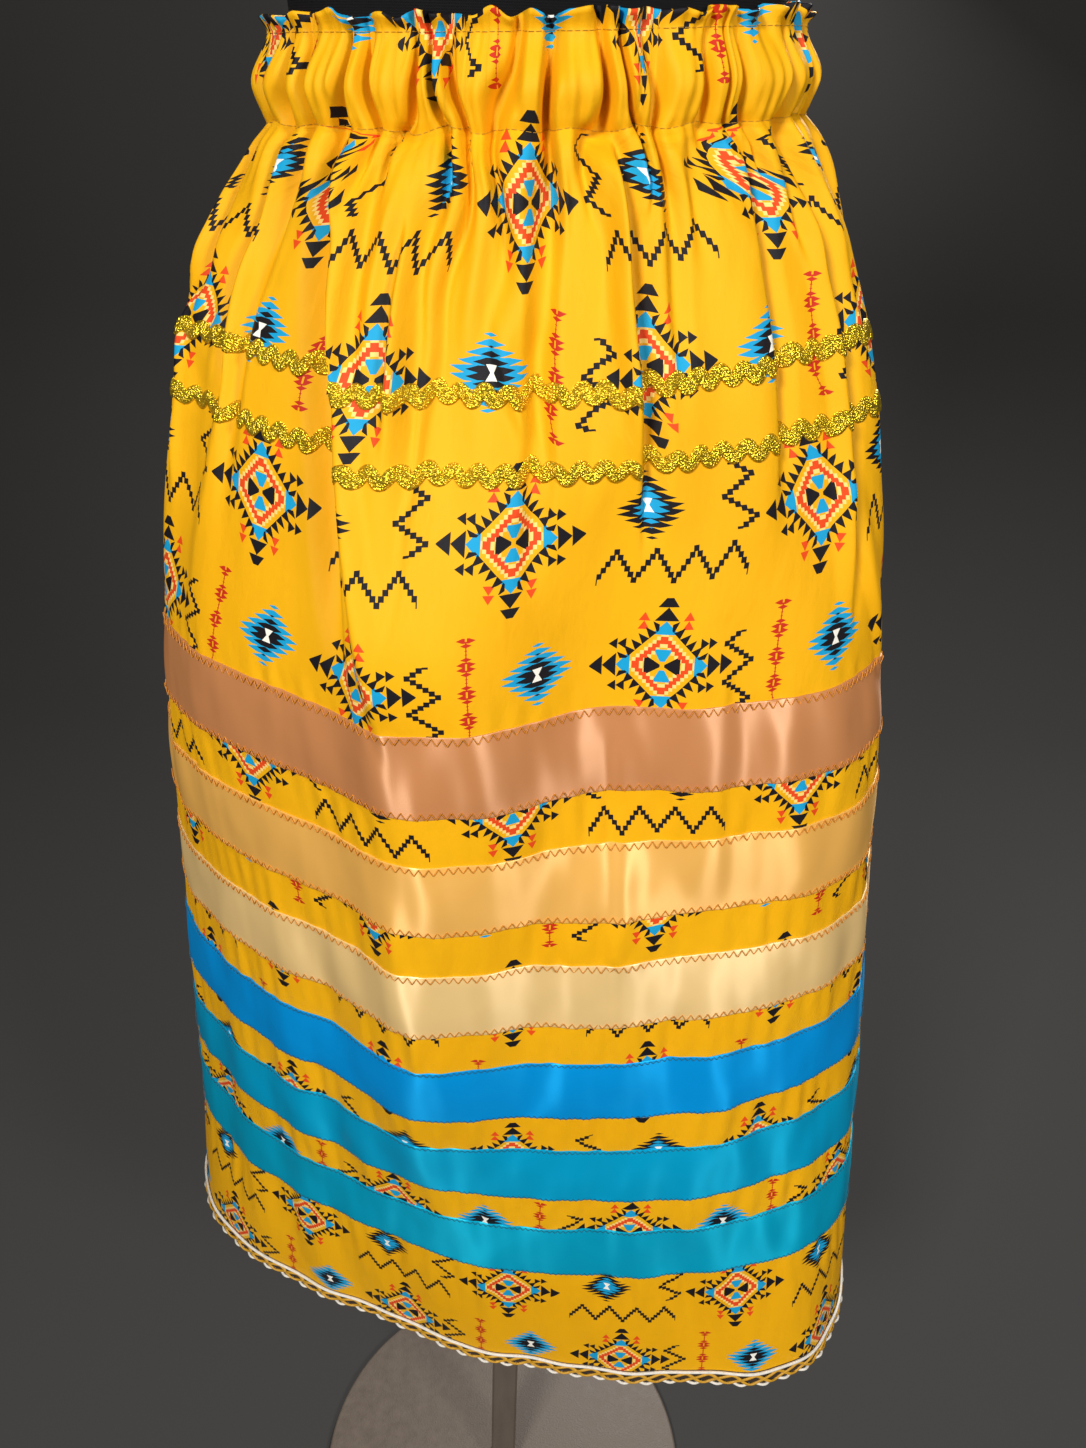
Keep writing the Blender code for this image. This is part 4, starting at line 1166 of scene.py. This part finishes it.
# %% [markdown]
# ## Stitches with Geometry Nodes
#
# A sewing machine makes the same stitch thousands of times along a line, and that is what Geometry Nodes
# are good at. A guide line carries, at each point, the direction straight out of the cloth. The tree cuts
# the line into stitch lengths, turns one small stitch to stand on each point and ends with real geometry.
# The same tree sews the ribbons' zigzags and the casing's straight rows: only its named inputs differ.

# %% Guide lines
def guide_line(name, place, down, out):
    """A closed line on the cloth that holds its outward directions."""
    points = skirt(place, down, out)
    mesh = bpy.data.meshes.new(name)
    count = len(points)
    edges = [(i, (i + 1) % count) for i in range(count)]
    mesh.from_pydata(points.tolist(), edges, [])
    outward = mesh.attributes.new("outward", "FLOAT_VECTOR", "POINT")
    outward.data.foreach_set("vector", skirt_outward(place, down).astype(np.float32).ravel())
    guide = bpy.data.objects.new(name, mesh)
    bpy.context.scene.collection.objects.link(guide)
    return guide


def round_places(count):
    """Evenly spaced places right round, without the last one twice."""
    return np.linspace(0, 1, count, endpoint=False)


# %% Tree helpers
def add_node(tree, kind, links=(), **settings):
    """A node with its settings, and with sockets or values fed to its inputs by name or number."""
    node = tree.nodes.new(kind)
    for label, value in settings.items():
        setattr(node, label, value)
    for label, value in dict(links).items():
        if isinstance(value, bpy.types.NodeSocket):
            tree.links.new(value, node.inputs[label])
        else:
            node.inputs[label].default_value = value
    return node


def new_tree(name, inputs):
    """A geometry tree with named inputs after its geometry."""
    tree = bpy.data.node_groups.new(name, "GeometryNodeTree")
    tree.interface.new_socket("Geometry", in_out="INPUT", socket_type="NodeSocketGeometry")
    for label, kind in inputs:
        tree.interface.new_socket(label, in_out="INPUT", socket_type="NodeSocket" + kind)
    tree.interface.new_socket("Geometry", in_out="OUTPUT", socket_type="NodeSocketGeometry")
    return tree, tree.nodes.new("NodeGroupInput").outputs, tree.nodes.new("NodeGroupOutput")


def grow(guide, tree, **values):
    """Run a tree on a guide and keep the result as a plain mesh."""
    modifier = guide.modifiers.new(tree.name, "NODES")
    modifier.node_group = tree
    for socket in tree.interface.items_tree:
        label = socket.name.replace(" ", "_")
        if socket.in_out == "INPUT" and label in values:
            modifier[socket.identifier] = values[label]
    plain = bpy.data.meshes.new_from_object(guide.evaluated_get(bpy.context.evaluated_depsgraph_get()))
    guide.modifiers.remove(modifier)
    guide.data = plain
    plain.shade_smooth()
    return guide


def join(name, pieces):
    """Several plain pieces as one."""
    with bpy.context.temp_override(active_object=pieces[0], selected_editable_objects=pieces):
        bpy.ops.object.join()
    pieces[0].name = pieces[0].data.name = name
    return tell(pieces[0])


# %% Stitch tree
def make_stitch_tree():
    """One stitch of two bowed runs of thread on each cut of the line."""
    tree, given, end = new_tree("stitches", [("Pitch", "Float"), ("Cover", "Float"), ("Bite", "Float"),
                                             ("Bow", "Float"), ("Thread Radius", "Float"),
                                             ("Material", "Material")])
    curve = add_node(tree, "GeometryNodeMeshToCurve", {0: given["Geometry"]}).outputs[0]
    cut = add_node(tree, "GeometryNodeResampleCurve", {"Curve": curve, "Length": given["Pitch"]},
                   mode="LENGTH")
    reach = add_node(tree, "ShaderNodeMath", {0: given["Pitch"], 1: given["Cover"]}, operation="MULTIPLY")
    half = add_node(tree, "ShaderNodeMath", {0: reach.outputs[0], 1: 0.5}, operation="MULTIPLY").outputs[0]
    back = add_node(tree, "ShaderNodeMath", {0: half, 1: -1.0}, operation="MULTIPLY").outputs[0]
    half_bite = add_node(tree, "ShaderNodeMath", {0: given["Bite"], 1: 0.5}, operation="MULTIPLY").outputs[0]
    peak = add_node(tree, "ShaderNodeCombineXYZ", {"Y": given["Bite"], "Z": given["Bow"]}).outputs[0]
    runs = []
    for side in (back, half):
        foot = add_node(tree, "ShaderNodeCombineXYZ", {"X": side}).outputs[0]
        quarter = add_node(tree, "ShaderNodeMath", {0: side, 1: 0.5}, operation="MULTIPLY").outputs[0]
        high = add_node(tree, "ShaderNodeMath", {0: given["Bow"], 1: 2.0}, operation="MULTIPLY").outputs[0]
        middle = add_node(tree, "ShaderNodeCombineXYZ", {"X": quarter, "Y": half_bite, "Z": high}).outputs[0]
        ends = (foot, peak) if side is back else (peak, foot)
        run = add_node(tree, "GeometryNodeCurveQuadraticBezier",
                       {"Resolution": 3, "Start": ends[0], "Middle": middle, "End": ends[1]})
        runs.append(run.outputs[0])
    both = add_node(tree, "GeometryNodeJoinGeometry")
    for run in runs:
        tree.links.new(run, both.inputs[0])
    ring = add_node(tree, "GeometryNodeCurvePrimitiveCircle",
                    {"Resolution": 3, "Radius": given["Thread Radius"]})
    thread = add_node(tree, "GeometryNodeCurveToMesh",
                      {"Curve": both.outputs[0], "Profile Curve": ring.outputs[0], "Fill Caps": True})
    outward = add_node(tree, "GeometryNodeInputNamedAttribute", {"Name": "outward"}, data_type="FLOAT_VECTOR")
    stand = add_node(tree, "FunctionNodeAlignRotationToVector", {"Vector": outward.outputs["Attribute"]},
                     axis="Z")
    tangent = add_node(tree, "GeometryNodeInputTangent")
    turn = add_node(tree, "FunctionNodeAlignRotationToVector",
                    {"Rotation": stand.outputs[0], "Vector": tangent.outputs[0]}, axis="X", pivot_axis="Z")
    placed = add_node(tree, "GeometryNodeInstanceOnPoints",
                      {"Points": cut.outputs[0], "Instance": thread.outputs[0], "Rotation": turn.outputs[0]})
    real = add_node(tree, "GeometryNodeRealizeInstances", {"Geometry": placed.outputs[0]})
    done = add_node(tree, "GeometryNodeSetMaterial",
                    {"Geometry": real.outputs[0], "Material": given["Material"]})
    tree.links.new(done.outputs[0], end.inputs[0])
    return tree


stitch_tree = make_stitch_tree()
print(stitch_tree.name, len(stitch_tree.nodes), "nodes")

# %% Sew the ribbons
WARM_STITCH = {"Pitch": 0.0054, "Cover": 0.98, "Bite": 0.0044, "Bow": 0.00025, "Thread_Radius": 0.00031}
COOL_STITCH = {"Pitch": 0.0038, "Cover": 0.96, "Bite": 0.0022, "Bow": 0.00022, "Thread_Radius": 0.00022}
STITCH_LAY = 0.0012


def sew_ribbons(name, numbers, stitch, thread):
    """Zigzags that bite into both edges of some of the ribbons."""
    lines = []
    place = round_places(1200)
    for number in numbers:
        upper = FIRST_RIBBON_DOWN + RIBBON_PITCH * number
        for down, side in ((upper + 0.0002, -1), (upper + RIBBON_WIDTH - 0.0002, 1)):
            guide = guide_line(name, place, np.full(len(place), down), STITCH_LAY)
            values = dict(stitch, Bite=side * stitch["Bite"], Material=thread)
            lines.append(grow(guide, stitch_tree, **values))
    return join(name, lines)


warm_stitches = sew_ribbons("zigzag_warm_ribbons", (0, 1, 2), WARM_STITCH, gold_thread)
cool_stitches = sew_ribbons("zigzag_cool_ribbons", (3, 4, 5), COOL_STITCH, blue_thread)

# %% Sew the casing
CASING_STITCH = {"Pitch": 0.0034, "Cover": 0.72, "Bite": 0.0, "Bow": 0.00012, "Thread_Radius": 0.00018}
casing_rows = []
for down in (HEADER_HEIGHT, SEAM_DOWN):
    place = round_places(3000)
    row = guide_line("casing_stitches", place, np.full(len(place), down), 0.0002)
    casing_rows.append(grow(row, stitch_tree, Material=cotton_thread, **CASING_STITCH))
casing_stitches = join("casing_stitches", casing_rows)

# %% [markdown]
# ## The braided hem
#
# The hem is closed by a narrow trim: a white cord along its top, gold strands that cross each other like a
# chain, and white showing between them at the very edge. Under the strands lies a dark strip, painted shadow
# that darkens the gaps between them. A strand that winds along a path is a second job for Geometry Nodes:
# every point of the path is moved up and out by waves, then a round thread is swept along it. Whole turns are
# counted, so the strand closes on itself.

# %% Winding tree
def make_winding_tree():
    """A strand that waves up and down and in and out along its guide."""
    tree, given, end = new_tree("winding_strand", [("Turns", "Float"), ("Phase", "Float"), ("Swing", "Float"),
                                                   ("Weave", "Float"), ("Step", "Float"), ("Radius", "Float"),
                                                   ("Material", "Material")])
    curve = add_node(tree, "GeometryNodeMeshToCurve", {0: given["Geometry"]}).outputs[0]
    cut = add_node(tree, "GeometryNodeResampleCurve", {"Curve": curve, "Length": given["Step"]},
                   mode="LENGTH")
    part = add_node(tree, "GeometryNodeSplineParameter").outputs["Factor"]
    turns = add_node(tree, "ShaderNodeMath", {0: part, 1: given["Turns"], 2: given["Phase"]},
                     operation="MULTIPLY_ADD").outputs[0]
    angle = add_node(tree, "ShaderNodeMath", {0: turns, 1: 2 * math.pi}, operation="MULTIPLY").outputs[0]
    double = add_node(tree, "ShaderNodeMath", {0: angle, 1: 2.0}, operation="MULTIPLY").outputs[0]
    rise = add_node(tree, "ShaderNodeMath", {0: angle}, operation="SINE").outputs[0]
    weave = add_node(tree, "ShaderNodeMath", {0: double}, operation="SINE").outputs[0]
    rise = add_node(tree, "ShaderNodeMath", {0: rise, 1: given["Swing"]}, operation="MULTIPLY").outputs[0]
    weave = add_node(tree, "ShaderNodeMath", {0: weave, 1: given["Weave"]}, operation="MULTIPLY").outputs[0]
    outward = add_node(tree, "GeometryNodeInputNamedAttribute", {"Name": "outward"},
                       data_type="FLOAT_VECTOR").outputs["Attribute"]
    tangent = add_node(tree, "GeometryNodeInputTangent").outputs[0]
    upward = add_node(tree, "ShaderNodeVectorMath", {0: outward, 1: tangent},
                      operation="CROSS_PRODUCT").outputs[0]
    up_part = add_node(tree, "ShaderNodeVectorMath", {0: upward, "Scale": rise}, operation="SCALE").outputs[0]
    out_part = add_node(tree, "ShaderNodeVectorMath", {0: outward, "Scale": weave},
                        operation="SCALE").outputs[0]
    shift = add_node(tree, "ShaderNodeVectorMath", {0: up_part, 1: out_part}, operation="ADD").outputs[0]
    wound = add_node(tree, "GeometryNodeSetPosition",
                     {"Geometry": cut.outputs[0], "Offset": shift}).outputs[0]
    ring = add_node(tree, "GeometryNodeCurvePrimitiveCircle", {"Resolution": 6, "Radius": given["Radius"]})
    strand = add_node(tree, "GeometryNodeCurveToMesh", {"Curve": wound, "Profile Curve": ring.outputs[0]})
    real = add_node(tree, "GeometryNodeRealizeInstances", {"Geometry": strand.outputs[0]})
    done = add_node(tree, "GeometryNodeSetMaterial",
                    {"Geometry": real.outputs[0], "Material": given["Material"]})
    tree.links.new(done.outputs[0], end.inputs[0])
    return tree


winding_tree = make_winding_tree()
print(winding_tree.name, len(winding_tree.nodes), "nodes")

# %% Hem trim
HEM_PITCH = 0.036
HEM_TOP = SKIRT_LENGTH - HEM_TRIM_HEIGHT
hem_girth = float(np.interp(SKIRT_LENGTH, table_downs, girth_table))
HEM_TURNS = round(hem_girth / HEM_PITCH)


def wind(name, down, out, finish, **values):
    """A strand along one level of the skirt."""
    place = round_places(900)
    guide = guide_line(name, place, np.full(len(place), down), out)
    settings = {"Turns": float(HEM_TURNS), "Phase": 0.0, "Swing": 0.0, "Weave": 0.0, "Step": 0.0018,
                "Radius": 0.0007, "Material": finish}
    return grow(guide, winding_tree, **dict(settings, **values))


def shadow_tape_block():
    """A dark strip folded round the hem's edge under the trim: painted shadow in the gaps between the
    strands.
    """
    place = np.linspace(-0.25, 0.75, 601)
    downs = np.array([HEM_TOP, HEM_TOP + 0.0004, SKIRT_LENGTH - 0.0005, SKIRT_LENGTH, SKIRT_LENGTH - 0.0006,
                      HEM_TOP + 0.002])
    outs = np.array([0.0001, 0.0006, 0.0006, -0.0004, -0.0022, -0.0024])
    block = skirt(place[None, :], downs[:, None], outs[:, None])
    block[3, :, 2] -= 0.0004
    uv = np.stack(np.broadcast_arrays((place * hem_girth)[None, :], -downs[:, None]), -1)
    return block, uv


# the hem's dark strip is painted shadow for the gaps between the gold strands
hem_tape = cloth_mesh("hem_tape", [shadow_tape_block()], dark_tape)
white_top = wind("white_top", HEM_TOP + 0.0013, 0.0012, white_cord, Radius=0.0013)
white_edge = wind("white_edge", SKIRT_LENGTH - 0.0012, 0.0010, white_cord, Phase=0.125, Weave=0.0016,
                  Radius=0.0011)
hem_white = join("hem_white_cords", [white_top, white_edge])
strands = []
for ply in (-0.018, 0.018):
    for phase in (0.0, 0.5):
        strands.append(wind("hem_strand", SKIRT_LENGTH - 0.0056, 0.0014, gold_strand, Phase=phase + ply,
                            Swing=0.0040, Weave=0.0007, Radius=0.00090))
hem_gold = join("hem_gold_strands", strands)

# %% [markdown]
# ## The dress form and its stand
#
# The form is a padded shell under black jersey, cut in panels whose seams run down the front, sides and
# back. Its sections are few and smooth, so the fine cover is a loft through them with a shallow groove at
# each seam. Plates are turned shapes: a short profile swept round with enough steps to look round. The
# square pole has the right shape already, so the frame's own node stays, in a better finish.

# %% Form cover
FORM_COLUMNS = ("height", "half_width", "half_depth", "back")
FORM_SECTIONS = (
    (1.0200, 0.1380, 0.0960, 0.000),
    (1.0320, 0.1610, 0.1120, 0.000),
    (1.0900, 0.1760, 0.1210, 0.000),
    (1.1550, 0.1700, 0.1170, 0.000),
    (1.2200, 0.1480, 0.1050, 0.000),
    (1.2730, 0.1255, 0.0945, 0.000),
    (1.3600, 0.1255, 0.0945, 0.000),
    (1.4400, 0.1400, 0.1060, 0.000),
    (1.5200, 0.1560, 0.1150, 0.000),
    (1.6000, 0.1680, 0.1080, 0.004),
    (1.6550, 0.1680, 0.0880, 0.008),
    (1.6900, 0.1330, 0.0720, 0.010),
    (1.7150, 0.0820, 0.0580, 0.010),
    (1.7350, 0.0570, 0.0520, 0.010),
    (1.7800, 0.0540, 0.0500, 0.010),
)
FORM_SEAM_ANGLES = (-90, -62, -118, 0, 180, 90, 58, 122)
FORM_ROUND, FORM_LEVELS = 144, 84


def form_blocks():
    """The cover's side, and flat ends at the neck and the bottom."""
    heights = np.linspace(FORM_SECTIONS[0][0], FORM_SECTIONS[-1][0], FORM_LEVELS)[::-1]
    angle = np.linspace(0, 2 * np.pi, FORM_ROUND + 1)
    width, depth, back = (read_table(FORM_SECTIONS, FORM_COLUMNS, name, heights)[:, None]
                          for name in FORM_COLUMNS[1:])
    along = np.abs(np.cos(angle) / width) ** FORM_SQUARE + np.abs(np.sin(angle) / depth) ** FORM_SQUARE
    radius = along ** (-1 / FORM_SQUARE) - 0.0004
    for seam in FORM_SEAM_ANGLES:
        away = (angle - math.radians(seam) + np.pi) % (2 * np.pi) - np.pi
        radius = radius - 0.0008 * np.exp(-((away * radius / 0.0018) ** 2))
    side = np.stack([radius * np.cos(angle), back + radius * np.sin(angle),
                     np.broadcast_to(heights[:, None], radius.shape)], -1)
    uv = np.stack([angle * 0.14 + 0 * radius, np.broadcast_to(heights[:, None], radius.shape)], -1)
    ends = []
    for row, order in ((0, (1, 0)), (-1, (0, 1))):
        middle = side[row].mean(0)
        centre = np.broadcast_to(middle, side[row].shape)
        pair = [side[row], centre]
        end = np.stack([pair[number] for number in order])
        ends.append((end, np.stack([uv[row], uv[row]])))
    return [(side, uv)] + ends


form_cover = cloth_mesh("form_cover", form_blocks(), jersey)


# %% Turned plates
def turned(name, profile, back, finish, steps=128):
    """A turned piece from its profile of radius and height, from the top middle down to the bottom middle."""
    angle = np.linspace(0, 2 * np.pi, steps, endpoint=False)
    rings = [np.stack([radius * np.cos(angle), back + radius * np.sin(angle), np.full(steps, height)], -1)
             for radius, height in profile[1:-1]]
    points = [(0.0, back, profile[0][1])] + np.concatenate(rings).tolist() + [(0.0, back, profile[-1][1])]
    faces = grid_faces(len(rings), steps, 1, closed=True).tolist()
    last = len(points) - 1
    faces += [(0, 1 + step, 1 + (step + 1) % steps) for step in range(steps)]
    low = 1 + (len(rings) - 1) * steps
    faces += [(last, low + (step + 1) % steps, low + step) for step in range(steps)]
    mesh = bpy.data.meshes.new(name)
    mesh.from_pydata(points, [], faces)
    mesh.shade_smooth()
    mesh.set_sharp_from_angle(angle=math.radians(35))
    mesh.materials.append(finish)
    piece = bpy.data.objects.new(name, mesh)
    bpy.context.scene.collection.objects.link(piece)
    return tell(piece)


def plate_profile(node, rim):
    """The profile of a plate with a rounded rim, from the frame's own node."""
    low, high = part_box(node)
    radius = (high.x - low.x) / 2
    arc = [math.pi / 2 * step / 4 for step in range(5)]
    upper = [(radius - rim + rim * math.sin(turn), high.z - rim + rim * math.cos(turn)) for turn in arc]
    lower = [(radius - rim + rim * math.cos(turn), low.z + rim - rim * math.sin(turn)) for turn in arc]
    return [(0.0, high.z)] + upper + lower + [(0.0, low.z)], (low.y + high.y) / 2


plates = {}
for node, rim in (("form_neck_cap", 0.0035), ("form_foot_plate", 0.0015), ("stand_base", 0.0030)):
    profile, back = plate_profile(node, rim)
    plates[node] = turned(node + "_turned", profile, back, stand_paint)
pole = nodes["stand_pole"]
pole.data.materials.clear()
pole.data.materials.append(stand_paint)
print("pole keeps its node:", pole.name)

# %% [markdown]
# ## Tie the pieces to the frame
#
# Nothing here moves by itself, so every piece rides on the one body, and hides the nodes that it stands
# for. The flat size that each panel was cut to, and its area, are printed from the cloth's own lengths.

# %% Ride and replace
def settle(piece, slot, *stands_for):
    """Put a finished piece on the frame."""
    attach(piece, "root")
    if stands_for:
        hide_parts(*stands_for)


settle(skirt_front, "printed_cotton", "skirt_front")
settle(skirt_back, "printed_cotton", "skirt_back")
settle(waistband, "printed_cotton", "waistband")
for name, piece in zip(RIBBONS, ribbons):
    settle(piece, "satin_" + name, "ribbon_" + name)
for name, piece in ricracs.items():
    settle(piece, "gold_ricrac", "ricrac_" + name)
settle(hem_tape, "white_binding", "hem_binding")
settle(hem_white, "white_binding")
settle(hem_gold, "gold_braid", "hem_braid")
settle(warm_stitches, "gold_braid")
settle(cool_stitches, "satin_teal")
settle(casing_stitches, "printed_cotton")
settle(form_cover, "form_cloth", "form_torso")
for node, piece in plates.items():
    settle(piece, "stand_paint", node)


def flat_panel(block, uv):
    """Width and length of the flat cut and its area, from the cloth's own lengths."""
    widths = np.ptp(uv[..., 0], axis=1)
    length = float(-uv[-1, 0, 1] - SEAM_DOWN)
    return (round(float(widths.max()), 3), round(length, 3)), round(float(widths.mean() * length), 4)


for piece, block, extra in ((skirt_front, front_block, [warm_stitches, cool_stitches, *ricracs.values()]),
                            (skirt_back, back_block, [])):
    flat, area = flat_panel(*block)
    print(piece.name, "flat", flat, "area", area)
for number, piece in enumerate(ribbons):
    girth = float(np.interp(FIRST_RIBBON_DOWN + RIBBON_PITCH * number, table_downs, girth_table))
